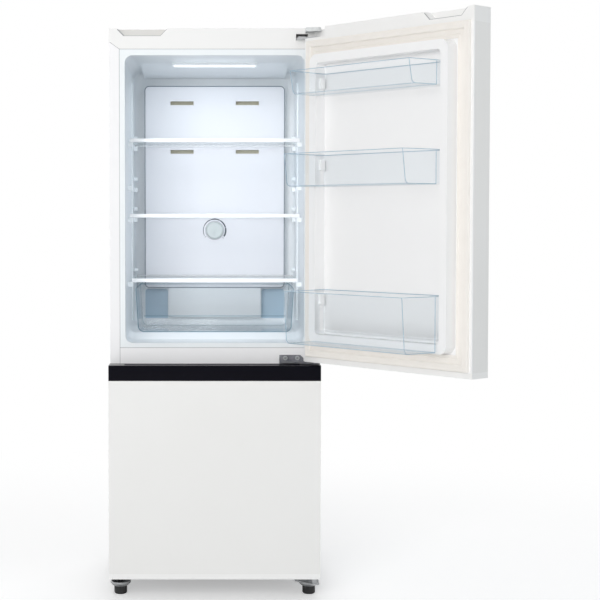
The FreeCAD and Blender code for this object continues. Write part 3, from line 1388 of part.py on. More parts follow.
def base_brackets():
    """Steel brackets under the base pan: a cup for each foot, a fork with its axle for each roller."""
    brackets = []
    for side_name, side in (("Left", -1), ("Right", 1)):
        floor = s.pad_height + s.seat
        at = (side * s.foot_x, s.foot_y)
        slant = s.cup_wall * (math.sqrt(2) - 1)
        cup_inner = s.cup_radius - s.cup_wall
        hole_radius = s.stud_radius + s.seat
        cup = turned("Cup" + side_name, [
            (hole_radius, 0), (s.cup_radius - s.cup_edge, 0), (s.cup_radius, s.cup_edge),
            (s.cup_radius, s.cup_height), (cup_inner, s.cup_height), (cup_inner, s.cup_edge + slant),
            (s.cup_radius - s.cup_edge - slant, s.cup_wall), (hole_radius, s.cup_wall)])
        place(cup, *at, floor)
        strap = block(
            "CupStrap" + side_name, (at[0] - s.pad_radius, at[0] + s.pad_radius),
            (s.foot_y + s.cup_radius - 3 * s.cup_wall, s.foot_y + s.cup_radius),
            (floor + s.cup_edge, s.cabinet_floor))
        brackets.append(fuse("CupBracket" + side_name, cup, strap))
        middle = side * s.roller_x
        inner = s.roller_width / 2 + s.play
        fork = []
        for cheek_name, start in (("In", middle - inner - s.cheek), ("Out", middle + inner)):
            fork.append(block(
                "Cheek" + side_name + cheek_name, (start, start + s.cheek),
                (s.roller_y - s.roller_radius / 2, s.roller_y + s.roller_radius / 2),
                (s.roller_radius - 2 * s.axle_radius, s.cabinet_floor)))
        fork.append(block(
            "ForkTop" + side_name, (middle - inner - s.cheek, middle + inner + s.cheek),
            (s.roller_y - s.roller_radius / 2, s.roller_y + s.roller_radius / 2),
            (s.cabinet_floor - s.cheek, s.cabinet_floor)))
        fork.append(rod(
            "Axle" + side_name, "X", (middle - inner - s.cheek, s.roller_y, s.roller_radius), s.axle_radius,
            2 * (inner + s.cheek)))
        brackets.append(fuse("Fork" + side_name, *fork))
    deliver("base_brackets", group("BaseBrackets", *brackets))


# ---------------------------------------------------------------- cooling machine


def compressor():
    """The compressor's welded can on its feet plate, and the four rubber grommets below it."""
    radius, height = s.compressor_radius, s.compressor_height
    plate_low = pan_floor + s.grommet_height
    can = turned("CompressorCan", [
        (0, s.cheek), (radius * 0.8, s.cheek), (radius, radius * 0.3), (radius, height - radius * 0.5),
        (radius * 0.85, height - radius * 0.15), (radius * 0.4, height), (0, height)])
    place(can, s.compressor_x, s.compressor_y, plate_low)
    spread_x, spread_y = s.grommet_spread_x + s.grommet_radius, s.grommet_spread_y + s.grommet_radius
    plate = block(
        "CompressorPlate", (s.compressor_x - spread_x, s.compressor_x + spread_x),
        (s.compressor_y - spread_y, s.compressor_y + spread_y), (plate_low, plate_low + 2 * s.cheek))
    deliver("compressor", fuse("CompressorBody", can, plate))
    grommets = [
        rod("Grommet%d%d" % (row_number, column), "Z",
            (s.compressor_x + (2 * column - 1) * s.grommet_spread_x,
             s.compressor_y + (2 * row_number - 1) * s.grommet_spread_y, pan_floor),
            s.grommet_radius, s.grommet_height)
        for row_number in range(2) for column in range(2)
    ]
    deliver("compressor_grommets", group("Grommets", *grommets))


def drip_tray():
    """The evaporation tray on top of the compressor."""
    low = pan_floor + s.grommet_height + s.compressor_height
    wall, reach = s.clear_wall, s.compressor_radius
    x = (s.compressor_x - reach, s.compressor_x + reach)
    y = (s.compressor_y - reach, s.compressor_y + reach)
    high = low + s.tray_height
    outer = block("TrayOuter", x, y, (low, high))
    inner = block("TrayInner", (x[0] + wall, x[1] - wall), (y[0] + wall, y[1] - wall), (low + wall, high))
    deliver("drip_tray", cut("TrayCut", outer, inner))


def condenser():
    """The condenser: one tube in six level passes, joined by half turns, on two upright strips."""
    passes = 6
    pitch, left, right = s.coil_pitch.value, s.coil_left.value, s.coil_right.value
    low, y, tube_radius = s.coil_low.value, s.coil_y.value, s.tube.value / 2
    bend = pitch / 2
    edges = []
    for number in range(passes):
        height = low + number * pitch
        ends = (left + bend, right - bend) if number % 2 == 0 else (right - bend, left + bend)
        start, end = (Vector(across, y, height) for across in ends)
        edges.append(Part.LineSegment(start, end).toShape())
        if number < passes - 1:
            side = 1 if number % 2 == 0 else -1
            middle = end + Vector(side * bend, 0, bend)
            edges.append(Part.Arc(end, middle, end + Vector(0, 0, pitch)).toShape())
    path = Part.Wire(edges)
    ring = Part.Wire([Part.Circle(edges[0].valueAt(edges[0].FirstParameter), Vector(1, 0, 0), tube_radius).toShape()])
    coil = path.makePipeShell([ring], True, False)
    strips = None
    strip_width, strip_low = 3 * s.sheet.value, pan_floor.value
    for across in (left + 3 * bend, right - 3 * bend):
        strip = Part.makeBox(
            strip_width, s.sheet.value, low + passes * pitch - strip_low,
            Vector(across, y + tube_radius - s.sheet.value / 2, strip_low))
        strips = strip if strips is None else strips.fuse(strip)
    feature = doc.addObject("Part::Feature", "CondenserCoil")
    feature.Shape = coil.fuse(strips)
    deliver("condenser", feature)


def filter_drier():
    """The filter drier: a copper cartridge that stands beside the compressor."""
    radius = s.pad_edge * 1.7
    neck = s.tube / 2
    length = s.compressor_height * 0.7
    drier = turned("DrierCartridge", [
        (0, 0), (neck, 0), (neck, radius), (radius, 2 * radius), (radius, length - 2 * radius),
        (neck, length - radius), (neck, length), (0, length)])
    x = s.compressor_x - s.grommet_spread_x - 2 * s.grommet_radius - s.tube
    deliver("filter_drier", place(drier, x, s.coil_y, pan_floor))


def cord_gland():
    """The moulded gland in the machine cover, where the mains cord leaves."""
    thick = 2 * s.sheet
    barrel = s.stud_radius + s.tube
    flange = barrel + 3 * s.play
    gland = turned("GlandTurned", [
        (0, -thick), (barrel, -thick), (barrel, thick), (flange, thick), (barrel, 2 * thick), (0, 2 * thick)])
    gland.Placement.Rotation = TURN_FROM_Z["Y"]
    deliver("cord_gland", place(
        gland, s.compressor_x, back_inner - thick, s.cabinet_floor + 2 * s.cup_radius))


# ---------------------------------------------------------------- assembly

side_panel("side_panel_left", -1)
side_panel("side_panel_right", 1)
top_trim()
top_panel()
beam_channel()
base_pan()
rear_panels()
fridge_space = fridge_liner()
freezer_space = freezer_liner()
beam_steel = prism("BeamSpace", "YZ", beam_fold, -rim_half, rim_half)
cabinet_foam([*fridge_space, *freezer_space, beam_steel])
duct_cover()
duct_foam()
thermostat_dial()
lamp_lens()
shelf("shelf_upper", s.upper_shelf, shelf_half)
shelf("shelf_lower", s.lower_shelf, shelf_half)
shelf("crisper_cover", s.crisper_cover, shelf_half - s.shelf_gap)
crisper_drawer()
freezer_drawer("freezer_drawer_bottom", s.freezer_floor, s.low_drawer_height, s.low_drawer_depth)
freezer_drawer("freezer_drawer_middle", s.drawer_ledge, s.drawer_height, s.drawer_depth)
freezer_drawer("freezer_drawer_top", s.drawer_ledge + s.drawer_pitch, s.drawer_height, s.drawer_depth)
evaporator_parts()
fridge_door()
for bin_values in BINS:
    door_bin(*bin_values)
freezer_door()
top_hinge()
middle_hinge()
bottom_hinge()
hinge_screws()
front_foot("front_foot_left", -1)
front_foot("front_foot_right", 1)
rear_roller("rear_roller_left", -1)
rear_roller("rear_roller_right", 1)
base_brackets()
compressor()
drip_tray()
condenser()
filter_drier()
cord_gland()
doc.recompute()

# ---------------------------------------------------------------- checks and export

for thing in doc.Objects:
    if "Invalid" in thing.State or "Error" in thing.State:
        raise RuntimeError("%s (%s) did not recompute: %s" % (thing.Name, thing.Label, thing.State))
for piece in PIECES:
    if piece.Shape.isNull() or not piece.Shape.isValid() or not piece.Shape.Solids:
        raise RuntimeError("%s has no valid solid" % piece.Label)

os.makedirs("parts", exist_ok=True)
for piece in PIECES:
    piece.Shape.exportStep("parts/%s.step" % piece.Label)
print("%d pieces written" % len(PIECES))
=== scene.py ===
"""Looks of a bottom freezer refrigerator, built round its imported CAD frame.

Metres, in the CAD's frame: X to the right seen from the front, Y to the back, Z up.
"""
import json
import math

import bmesh
import bpy
from mathutils import Matrix, Vector


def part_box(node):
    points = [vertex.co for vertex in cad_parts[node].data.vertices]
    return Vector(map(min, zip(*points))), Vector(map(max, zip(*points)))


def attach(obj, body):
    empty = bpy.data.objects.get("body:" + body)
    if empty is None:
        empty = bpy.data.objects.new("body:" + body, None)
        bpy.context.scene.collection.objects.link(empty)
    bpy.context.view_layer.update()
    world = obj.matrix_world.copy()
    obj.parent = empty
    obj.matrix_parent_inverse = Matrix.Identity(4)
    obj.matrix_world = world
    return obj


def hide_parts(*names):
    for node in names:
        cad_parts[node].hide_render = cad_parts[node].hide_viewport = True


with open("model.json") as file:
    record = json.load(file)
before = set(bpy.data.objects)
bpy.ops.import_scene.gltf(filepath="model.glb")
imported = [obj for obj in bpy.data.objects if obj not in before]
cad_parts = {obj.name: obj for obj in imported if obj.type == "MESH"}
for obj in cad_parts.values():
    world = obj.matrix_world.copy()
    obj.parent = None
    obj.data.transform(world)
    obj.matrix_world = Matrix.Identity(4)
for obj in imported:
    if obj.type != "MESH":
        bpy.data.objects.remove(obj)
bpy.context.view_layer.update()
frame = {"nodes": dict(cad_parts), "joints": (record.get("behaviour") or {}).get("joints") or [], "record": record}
nodes = frame["nodes"]
MM = 0.001


def joint(name):
    return next(item for item in frame["joints"] if item["name"] == name)


# The fridge door is shown open. SWING takes a point of the closed door to where it stands.
door_joint = joint("fridge_door_hinge")
door_axis = Vector(door_joint["pos_m"])
door_open = math.radians(-door_joint["range_deg"][0])
SWING = (Matrix.Translation(door_axis) @ Matrix.Rotation(door_open, 4, "Z")
         @ Matrix.Translation(-door_axis))


def closed_box(node):
    """A fridge door node's lowest and highest corners, with the door closed."""
    back = SWING.inverted()
    points = [back @ vertex.co for vertex in nodes[node].data.vertices]
    return (Vector([min(point[axis] for point in points) for axis in range(3)]),
            Vector([max(point[axis] for point in points) for axis in range(3)]))


# ---------------------------------------------------------------- camera

PHOTO_SIDE = 600
FOCAL_PIXELS = 1418.4
AXIS_U, AXIS_V = 214.7, 279.0
CAMERA_PLACE = Vector((0, -3.721, 1.0))
CAMERA_PITCH = math.radians(2.45)
SENSOR = 36


def add_camera():
    data = bpy.data.cameras.new("PhotoCamera")
    data.sensor_width = SENSOR
    data.lens = FOCAL_PIXELS / PHOTO_SIDE * SENSOR
    data.shift_x = (PHOTO_SIDE / 2 - AXIS_U) / PHOTO_SIDE
    data.shift_y = (AXIS_V - PHOTO_SIDE / 2) / PHOTO_SIDE
    camera = bpy.data.objects.new("PhotoCamera", data)
    bpy.context.scene.collection.objects.link(camera)
    camera.location = CAMERA_PLACE
    camera.rotation_euler = (math.pi / 2 - CAMERA_PITCH, 0, 0)
    bpy.context.scene.camera = camera


# ---------------------------------------------------------------- shader helpers


def set_inputs(node, inputs):
    """Set a node's sockets by name, where an underscore stands for a space."""
    for name, value in inputs.items():
        node.inputs[name.replace("_", " ")].default_value = value


def add_node(tree, kind, **inputs):
    node = tree.nodes.new(kind)
    set_inputs(node, inputs)
    return node


def link(tree, source, output, target, socket):
    tree.links.new(source.outputs[output], target.inputs[socket])


def map_range(tree, source, output, **inputs):
    """A value carried from one range to another; each end is 0 to 1 unless given."""
    node = add_node(tree, "ShaderNodeMapRange", **inputs)
    link(tree, source, output, node, "Value")
    return node


def combine(tree, operation, first, first_output, second, second_output):
    """A sum, product or the like of two values."""
    node = add_node(tree, "ShaderNodeMath")
    node.operation = operation
    link(tree, first, first_output, node, 0)
    link(tree, second, second_output, node, 1)
    return node


def mix_shaders(tree, factor, output, first, second):
    """The first shader where a factor is 0, the second where it is 1."""
    mix = add_node(tree, "ShaderNodeMixShader")
    link(tree, factor, output, mix, 0)
    link(tree, first, 0, mix, 1)
    link(tree, second, 0, mix, 2)
    return mix


def show(tree, shader, end="Material Output"):
    link(tree, shader, 0, tree.nodes[end], "Surface")


def shader_of(material):
    return material.node_tree.nodes["Principled BSDF"]


def new_material(name, colour, roughness, **inputs):
    """A Principled material with plain socket values."""
    material = bpy.data.materials.new(name)
    material.use_nodes = True
    set_inputs(shader_of(material), {"Base Color": (*colour, 1), "Roughness": roughness, **inputs})
    material.diffuse_color = (*colour, 1)
    return material


def noise(tree, scale, detail=2, stretch=(1, 1, 1)):
    """Noise in the piece's own coordinates, stretched along each axis."""
    coordinates = add_node(tree, "ShaderNodeTexCoord")
    mapping = add_node(tree, "ShaderNodeMapping", Scale=stretch)
    link(tree, coordinates, "Object", mapping, "Vector")
    texture = add_node(tree, "ShaderNodeTexNoise", Scale=scale, Detail=detail)
    link(tree, mapping, "Vector", texture, "Vector")
    return texture


def grain(material, scale, strength, distance=0.2 * MM, stretch=(1, 1, 1)):
    """Fine relief from a noise."""
    tree = material.node_tree
    bump = add_node(tree, "ShaderNodeBump", Strength=strength, Distance=distance)
    link(tree, noise(tree, scale, stretch=stretch), "Fac", bump, "Height")
    link(tree, bump, "Normal", shader_of(material), "Normal")


def mottle(material, first, second, scale, detail=3, stretch=(1, 1, 1)):
    """Base colour that wanders between two shades."""
    tree = material.node_tree
    ramp = add_node(tree, "ShaderNodeValToRGB")
    for element, position, colour in zip(ramp.color_ramp.elements, (0.3, 0.7), (first, second)):
        element.position = position
        element.color = (*colour, 1)
    link(tree, noise(tree, scale, detail, stretch), "Fac", ramp, "Fac")
    link(tree, ramp, "Color", shader_of(material), "Base Color")


def scuff(material, scale, low, high):
    """Roughness that wanders between two values."""
    tree = material.node_tree
    spread = map_range(tree, noise(tree, scale, 4), "Fac", To_Min=low, To_Max=high)
    link(tree, spread, "Result", shader_of(material), "Roughness")


EDGE_ON_FROM = 0.62
GLOSS_POWER = 5
EDGE_ON_GLOSS = 0.5
GLOSS_ROUGHNESS = 0.04


def see_through(material, tint, seen, edge_on, gloss):
    """A thin clear wall: mostly tint, more of its own colour edge on, and a gloss outside.

    Light passes it as if it weren't there, so it throws no shadow.
    """
    tree = material.node_tree
    surface = add_node(tree, "ShaderNodeNewGeometry")
    weight = add_node(tree, "ShaderNodeLayerWeight", Blend=0.5)
    way_in = add_node(tree, "ShaderNodeBsdfTransparent", Color=(*tint, 1))
    way_out = add_node(tree, "ShaderNodeBsdfRefraction", Color=(*tint, 1), Roughness=0, IOR=1.0)
    wall = mix_shaders(tree, surface, "Backfacing", way_in, way_out)
    share = map_range(tree, weight, "Facing", From_Min=EDGE_ON_FROM, To_Min=seen, To_Max=edge_on)
    share.interpolation_type = "SMOOTHSTEP"
    body = mix_shaders(tree, share, "Result", wall, shader_of(material))
    steep = add_node(tree, "ShaderNodeMath")
    steep.operation = "POWER"
    steep.inputs[1].default_value = GLOSS_POWER
    link(tree, weight, "Facing", steep, 0)
    sheen = map_range(tree, steep, "Value", To_Min=gloss, To_Max=EDGE_ON_GLOSS)
    outside = map_range(tree, surface, "Backfacing", To_Min=1, To_Max=0)
    outer_sheen = combine(tree, "MULTIPLY", sheen, "Result", outside, "Result")
    shine = add_node(tree, "ShaderNodeBsdfGlossy", Roughness=GLOSS_ROUGHNESS)
    coated = mix_shaders(tree, outer_sheen, "Value", body, shine)
    path = add_node(tree, "ShaderNodeLightPath")
    passing = combine(tree, "MAXIMUM", path, "Is Shadow Ray", path, "Is Diffuse Ray")
    nothing = add_node(tree, "ShaderNodeBsdfTransparent")
    show(tree, mix_shaders(tree, passing, "Value", coated, nothing))


def clear_behind(material, from_y, share):
    """Let a moulding show mostly clear behind a distance from the front."""
    tree = material.node_tree
    coordinates = add_node(tree, "ShaderNodeTexCoord")
    parts = add_node(tree, "ShaderNodeSeparateXYZ")
    link(tree, coordinates, "Object", parts, "Vector")
    behind = map_range(tree, parts, "Y", From_Min=from_y, From_Max=from_y + 1 * MM, To_Max=share)
    nothing = add_node(tree, "ShaderNodeBsdfTransparent")
    show(tree, mix_shaders(tree, behind, "Result", shader_of(material), nothing))


# ---------------------------------------------------------------- materials


def painted_white(name, first, second):
    """Powder-coated steel: satin, with the faint orange peel of the coat."""
    material = new_material(name, first, 0.34, Coat_Weight=0.25, Coat_Roughness=0.12)
    mottle(material, first, second, 3)
    grain(material, 900, 0.06)
    return material


def moulded(name, first, second, roughness, bump=0.05):
    """Moulded plastic: a slow change of tone and a fine texture."""
    material = new_material(name, first, roughness)
    mottle(material, first, second, 4)
    grain(material, 1400, bump)
    return material


def duct_plastic_shaded(name, first, second):
    """The duct cover's plastic, smoother and a little bluer than the liner's, and darker than it: a painted shade
    that offsets the stronger light falling on the cover.
    """
    material = new_material(name, first, 0.3)
    mottle(material, first, second, 2.5)
    grain(material, 1400, 0.04)
    return material


def glowing(name, colour, light, strength):
    """A lit diffuser."""
    material = new_material(name, colour, 0.4, Emission_Color=(*light, 1),
                            Emission_Strength=strength)
    grain(material, 700, 0.05)
    return material


def clear(name, tint, own, roughness, seen, edge_on, bump):
    """Glass or clear plastic, its own colour seen edge on."""
    material = new_material(name, own, roughness)
    grain(material, 260, bump)
    see_through(material, tint, seen, edge_on, 0.03)
    return material


def rubber(name, first, second, roughness=0.6):
    material = new_material(name, first, roughness)
    mottle(material, first, second, 30)
    grain(material, 1800, 0.12)
    return material


def black_gloss(name, first, second):
    """Polished black plastic."""
    material = new_material(name, first, 0.16, Specular_IOR_Level=0.08)
    mottle(material, first, second, 6)
    grain(material, 500, 0.03)
    return material


def zinc(name, first, second):
    """Plated sheet steel, slightly scuffed."""
    material = new_material(name, first, 0.34, Metallic=1.0)
    mottle(material, first, second, 60, 4)
    scuff(material, 90, 0.28, 0.46)
    grain(material, 500, 0.10, stretch=(1, 1, 6))
    return material


def brushed(name, first, second, roughness, stretch):
    """Drawn metal, its lines along the axis of least stretch."""
    material = new_material(name, first, roughness, Metallic=1.0)
    mottle(material, first, second, 220, stretch=stretch)
    grain(material, 220, 0.15, stretch=stretch)
    return material


def rigid_foam(name, first, second):
    material = new_material(name, first, 0.9)
    mottle(material, first, second, 60)
    grain(material, 500, 0.4, 0.6 * MM)
    return material


# What each maker is given for each material: two shades first, except for lamp and clear walls.
LOOKS = {
    painted_white: {
        "white_steel": ((0.85, 0.845, 0.83), (0.865, 0.86, 0.848)),
        # The doors' white paint made lighter for the cabinet's side flanges and beam: painted light.
        "cabinet_steel_painted_light": ((0.915, 0.912, 0.925), (0.93, 0.927, 0.938)),
    },
    moulded: {
        "white_trim": ((0.89, 0.888, 0.88), (0.905, 0.902, 0.895), 0.38),
        "white_liner": ((0.87, 0.91, 0.935), (0.89, 0.925, 0.945), 0.30),
        "door_liner": ((0.915, 0.915, 0.92), (0.93, 0.93, 0.932), 0.30),
        "shelf_trim": ((0.90, 0.91, 0.925), (0.92, 0.93, 0.94), 0.3),
        "dial_grey": ((0.60, 0.66, 0.66), (0.64, 0.69, 0.69), 0.42),
        "lamp_white": ((0.90, 0.93, 0.96), (0.92, 0.95, 0.975), 0.35),
        "drawer_plastic": ((0.74, 0.80, 0.86), (0.77, 0.83, 0.88), 0.3),
        "bin_edge": ((0.34, 0.47, 0.58), (0.42, 0.55, 0.66), 0.2),
        "crisper_edge": ((0.05, 0.17, 0.24), (0.08, 0.22, 0.30), 0.2),
        # A darker bluish grey for plates on the rear wall beside the crisper's boss: painted shade.
        "pocket_painted_shade": ((0.47, 0.61, 0.72), (0.52, 0.65, 0.76), 0.4),
        "cover_grey": ((0.70, 0.72, 0.72), (0.74, 0.76, 0.76), 0.4),
        # Grey beige for the trim recess's rear wall: painted shade inside the recess.
        "grip_painted_shade": ((0.72, 0.71, 0.69), (0.76, 0.75, 0.73), 0.5),
        "edge_shadow": ((0.13, 0.17, 0.21), (0.17, 0.21, 0.25), 0.6),
        "seam_shadow": ((0.36, 0.37, 0.38), (0.42, 0.43, 0.44), 0.7),
        # Dark slate: the dial's printed ink, and painted shade in the hinge screws' cross recesses.
        "dial_ink_and_recess_shade": ((0.045, 0.06, 0.08), (0.055, 0.07, 0.09), 0.6),
        "black_plastic": ((0.018, 0.018, 0.019), (0.026, 0.026, 0.027), 0.5, 0.1),
        "black_steel": ((0.014, 0.014, 0.015), (0.02, 0.02, 0.021), 0.32, 0.1),
    },
    duct_plastic_shaded: {
        # Darker than the liner's white: painted shade against the stronger light on the duct cover.
        "duct_white": ((0.785, 0.80, 0.84), (0.80, 0.815, 0.855)),
    },
    glowing: {
        "lamp_glow": ((0.95, 0.97, 1.0), (0.84, 0.93, 1.0), 1.2),
    },
    clear: {
        "shelf_glass": ((0.985, 0.996, 0.996), (0.42, 0.66, 0.68), 0.05, 0.01, 0.40, 0.004),
        "clear_plastic": ((0.984, 0.993, 0.999), (0.70, 0.82, 0.90), 0.08, 0.006, 0.30, 0.02),
    },
    rubber: {
        "seal": ((0.88, 0.845, 0.80), (0.90, 0.868, 0.825)),
        "black_rubber": ((0.02, 0.02, 0.02), (0.03, 0.03, 0.03), 0.75),
    },
    black_gloss: {
        "black_gloss": ((0.0030, 0.0030, 0.0060), (0.0042, 0.0040, 0.0075)),
    },
    zinc: {
        "zinc_steel": ((0.48, 0.49, 0.50), (0.62, 0.63, 0.64)),
        "hinge_plate": ((0.16, 0.16, 0.18), (0.36, 0.36, 0.39)),
    },
    brushed: {
        "copper": ((0.70, 0.36, 0.22), (0.78, 0.45, 0.30), 0.3, (1, 1, 6)),
        "cooler_aluminium": ((0.70, 0.71, 0.72), (0.80, 0.81, 0.82), 0.35, (8, 1, 1)),
    },
    rigid_foam: {
        "foam": ((0.78, 0.68, 0.40), (0.86, 0.77, 0.50)),
        "vent_foam": ((0.62, 0.60, 0.48), (0.70, 0.68, 0.56)),
    },
}
materials = {
    name: maker(name, *values) for maker, looks in LOOKS.items() for name, values in looks.items()
}
TRIM_CLEAR_FROM, TRIM_CLEAR_SHARE = 0.3, 0.75
clear_behind(materials["shelf_trim"], TRIM_CLEAR_FROM, TRIM_CLEAR_SHARE)

# Nodes whose shade of their slot's finish differs from the rest of it.
SHADES = {
    # Side panels and beam take a lighter copy of the doors' white paint, as painted light.
    "side_panel_left": "cabinet_steel_painted_light",
    "side_panel_right": "cabinet_steel_painted_light",
    "mid_beam": "cabinet_steel_painted_light",
    "fridge_door_liner": "door_liner",
    "freezer_door_liner": "door_liner",
    "duct_foam": "vent_foam",
    "middle_hinge": "hinge_plate",
    "top_hinge_cover": "cover_grey",
}


def dress_nodes():
    """Give each CAD node the material of its slot, or its own shade of it."""
    for subpart in frame["record"]["subparts"]:
        node = subpart["node"]
        mesh = nodes[node].data
        mesh.materials.clear()
        mesh.materials.append(materials[SHADES.get(node, subpart["material_slot"])])


# ---------------------------------------------------------------- mesh helpers


def new_piece(name, mesh_maker, slot, body, turn=None, shade=None):
    """An object from a bmesh, with its slot's material or a shade of it, that rides on a body."""
    mesh = bpy.data.meshes.new(name)
    shape = bmesh.new()
    mesh_maker(shape)
    if turn is not None:
        shape.transform(turn)
    bmesh.ops.recalc_face_normals(shape, faces=shape.faces)
    shape.to_mesh(mesh)
    shape.free()
    piece = bpy.data.objects.new(name, mesh)
    bpy.context.scene.collection.objects.link(piece)
    mesh.materials.append(materials[shade or slot])
    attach(piece, body)
    return piece


def smooth(piece, angle=35):
    for face in piece.data.polygons:
        face.use_smooth = True
    piece.data.set_sharp_from_angle(angle=math.radians(angle))


def close_between(shape, ring, following):
    """The faces between two closed rings of vertices."""
    count = len(ring)
    for number in range(count):
        beside = (number + 1) % count
        shape.faces.new((ring[number], ring[beside], following[beside], following[number]))


CORNER_STEPS = 6


def ring_outline(low, high, inset, corner=0):
    """A rectangle's outline in X and Z, drawn in by an inset, with its corners rounded."""
    left, right = low.x + inset, high.x - inset
    base, top = low.z + inset, high.z - inset
    if corner <= 0:
        return [(left, base), (right, base), (right, top), (left, top)]
    centres = ((right - corner, top - corner), (left + corner, top - corner),
               (left + corner, base + corner), (right - corner, base + corner))
    points = []
    for quarter, (centre_x, centre_z) in enumerate(centres):
        for step in range(CORNER_STEPS + 1):
            angle = math.radians(90 * (quarter + step / CORNER_STEPS))
            points.append((centre_x + corner * math.cos(angle),
                           centre_z + corner * math.sin(angle)))
    return points


def sweep_ring(shape, low, high, profile):
    """Sweep a closed profile of (inset, y) points round a rectangle, with mitred corners."""
    rings = [
        [shape.verts.new((x, y, z)) for x, z in ring_outline(low, high, inset)]
        for inset, y in profile
    ]
    for number, ring in enumerate(rings):
        close_between(shape, ring, rings[(number + 1) % len(rings)])


SUNK = 0.3 * MM
MITRE_LIMIT = 0.3


def add_strip(shape, points, width, proud, closed=False, sunk=SUNK):
    """A flat strip along a line of (x, y, z) points in a plane of constant Y, with mitred turns.

    It stands proud of the plane by one size and reaches behind it by another.
    """
    count = len(points)
    rings = []
    for number, point in enumerate(points):
        before = points[(number - 1) % count] if closed or number > 0 else None
        after = points[(number + 1) % count] if closed or number < count - 1 else None
        into = (Vector(point) - Vector(before)).normalized() if before is not None else None
        out = (Vector(after) - Vector(point)).normalized() if after is not None else into
        if into is None:
            into = out
        side_in = Vector((-into.z, 0, into.x))
        side_out = Vector((-out.z, 0, out.x))
        mitre = (side_in + side_out).normalized()
        reach = width / 2 / max(mitre.dot(side_in), MITRE_LIMIT)
        rings.append([
            shape.verts.new(Vector(point) + mitre * reach * sign + Vector((0, depth, 0)))
            for sign, depth in ((-1, -proud), (1, -proud), (1, sunk), (-1, sunk))
        ])
    for number in range(count if closed else count - 1):
        close_between(shape, rings[number], rings[(number + 1) % count])
    if not closed:
        shape.faces.new(rings[0])
        shape.faces.new(rings[-1])


def add_plate(shape, outline, near, far):
    """A flat plate with an outline of (x, z) points, between two places along Y."""
    levels = [[shape.verts.new((x, y, z)) for x, z in outline] for y in (near, far)]
    for level in levels:
        shape.faces.new(level)
    close_between(shape, *levels)


def point_round(centre, radius, degrees):
    """The point round a centre in a plane of constant Y, at an angle clockwise from the top."""
    angle = math.radians(degrees)
    return (centre[0] + math.sin(angle) * radius, centre[1],
            centre[2] + math.cos(angle) * radius)


def arc_points(centre, radius, start, end, steps):
    return [point_round(centre, radius, start + (end - start) * step / steps)
            for step in range(steps + 1)]


# ---------------------------------------------------------------- gaskets

FLAP = 2.5 * MM
FLAP_END = 38 * MM
FLAP_EDGE = 1.2 * MM
# The groove along the flap: where its floor and its mouth end, and how high its floor is.
GROOVE_FLOOR = (7 * MM, 9 * MM)
GROOVE_MOUTH = (6 * MM, 10 * MM)
GROOVE_LEVEL = 0.55
BELLOWS = 18 * MM
FOLD = 1.5 * MM
# The shallow channel in the magnet's face.
CHANNEL_DEPTH = 0.6 * MM
CHANNEL_INSET = 5 * MM
CHANNEL_EDGE = 0.5 * MM


def gasket(name, node, low, high, body, turn=None):
    """A magnetic gasket: bellows with folds along the outer edge, and a grooved inner flap."""
    back, face = low.y, high.y
    flap_top = back + FLAP
    groove = back + FLAP * GROOVE_LEVEL
    fold = (face - flap_top) / 4
    inner_edge = BELLOWS - 1 * MM - CHANNEL_INSET
    profile = [
        (0, back), (FLAP_END, back), (FLAP_END, back + FLAP / 2), (FLAP_END - FLAP_EDGE, flap_top),
        (FLAP_END - GROOVE_MOUTH[0], flap_top), (FLAP_END - GROOVE_FLOOR[0], groove),
        (FLAP_END - GROOVE_FLOOR[1], groove), (FLAP_END - GROOVE_MOUTH[1], flap_top),
        (BELLOWS, flap_top), (BELLOWS - FOLD, flap_top + fold), (BELLOWS, flap_top + 2 * fold),
        (BELLOWS - FOLD, flap_top + 3 * fold), (BELLOWS - FOLD - 1 * MM, face), (inner_edge, face),
        (inner_edge - CHANNEL_EDGE, face - CHANNEL_DEPTH),
        (CHANNEL_INSET + CHANNEL_EDGE, face - CHANNEL_DEPTH), (CHANNEL_INSET, face),
        (FOLD, face), (0, flap_top + 3 * fold), (FOLD, flap_top + 2 * fold),
        (0, flap_top + fold), (0, flap_top),
    ]
    piece = new_piece(name, lambda shape: sweep_ring(shape, low, high, profile), "seal", body, turn)
    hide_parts(node)
    smooth(piece, 30)


# ---------------------------------------------------------------- dial's scale

SCALE_START, SCALE_END = -118, 124
SCALE_STEPS = 5
SCALE_GAP = 2.5
SCALE_RADIUS = 34 * MM
SCALE_THIN, SCALE_WIDE = 1.3 * MM, 4.5 * MM
SCALE_PROUD, SCALE_SUNK = 0.15 * MM, 0.4 * MM
ARC_STEPS = 10
KNOB_RING = 26.5 * MM
KNOB_LINE = 0.8 * MM
KNOB_STEPS = 48
MARK_START, MARK_PAST = 29.5 * MM, 1.5 * MM
MARK_LINE = 1.0 * MM
MARK_BEYOND = 7


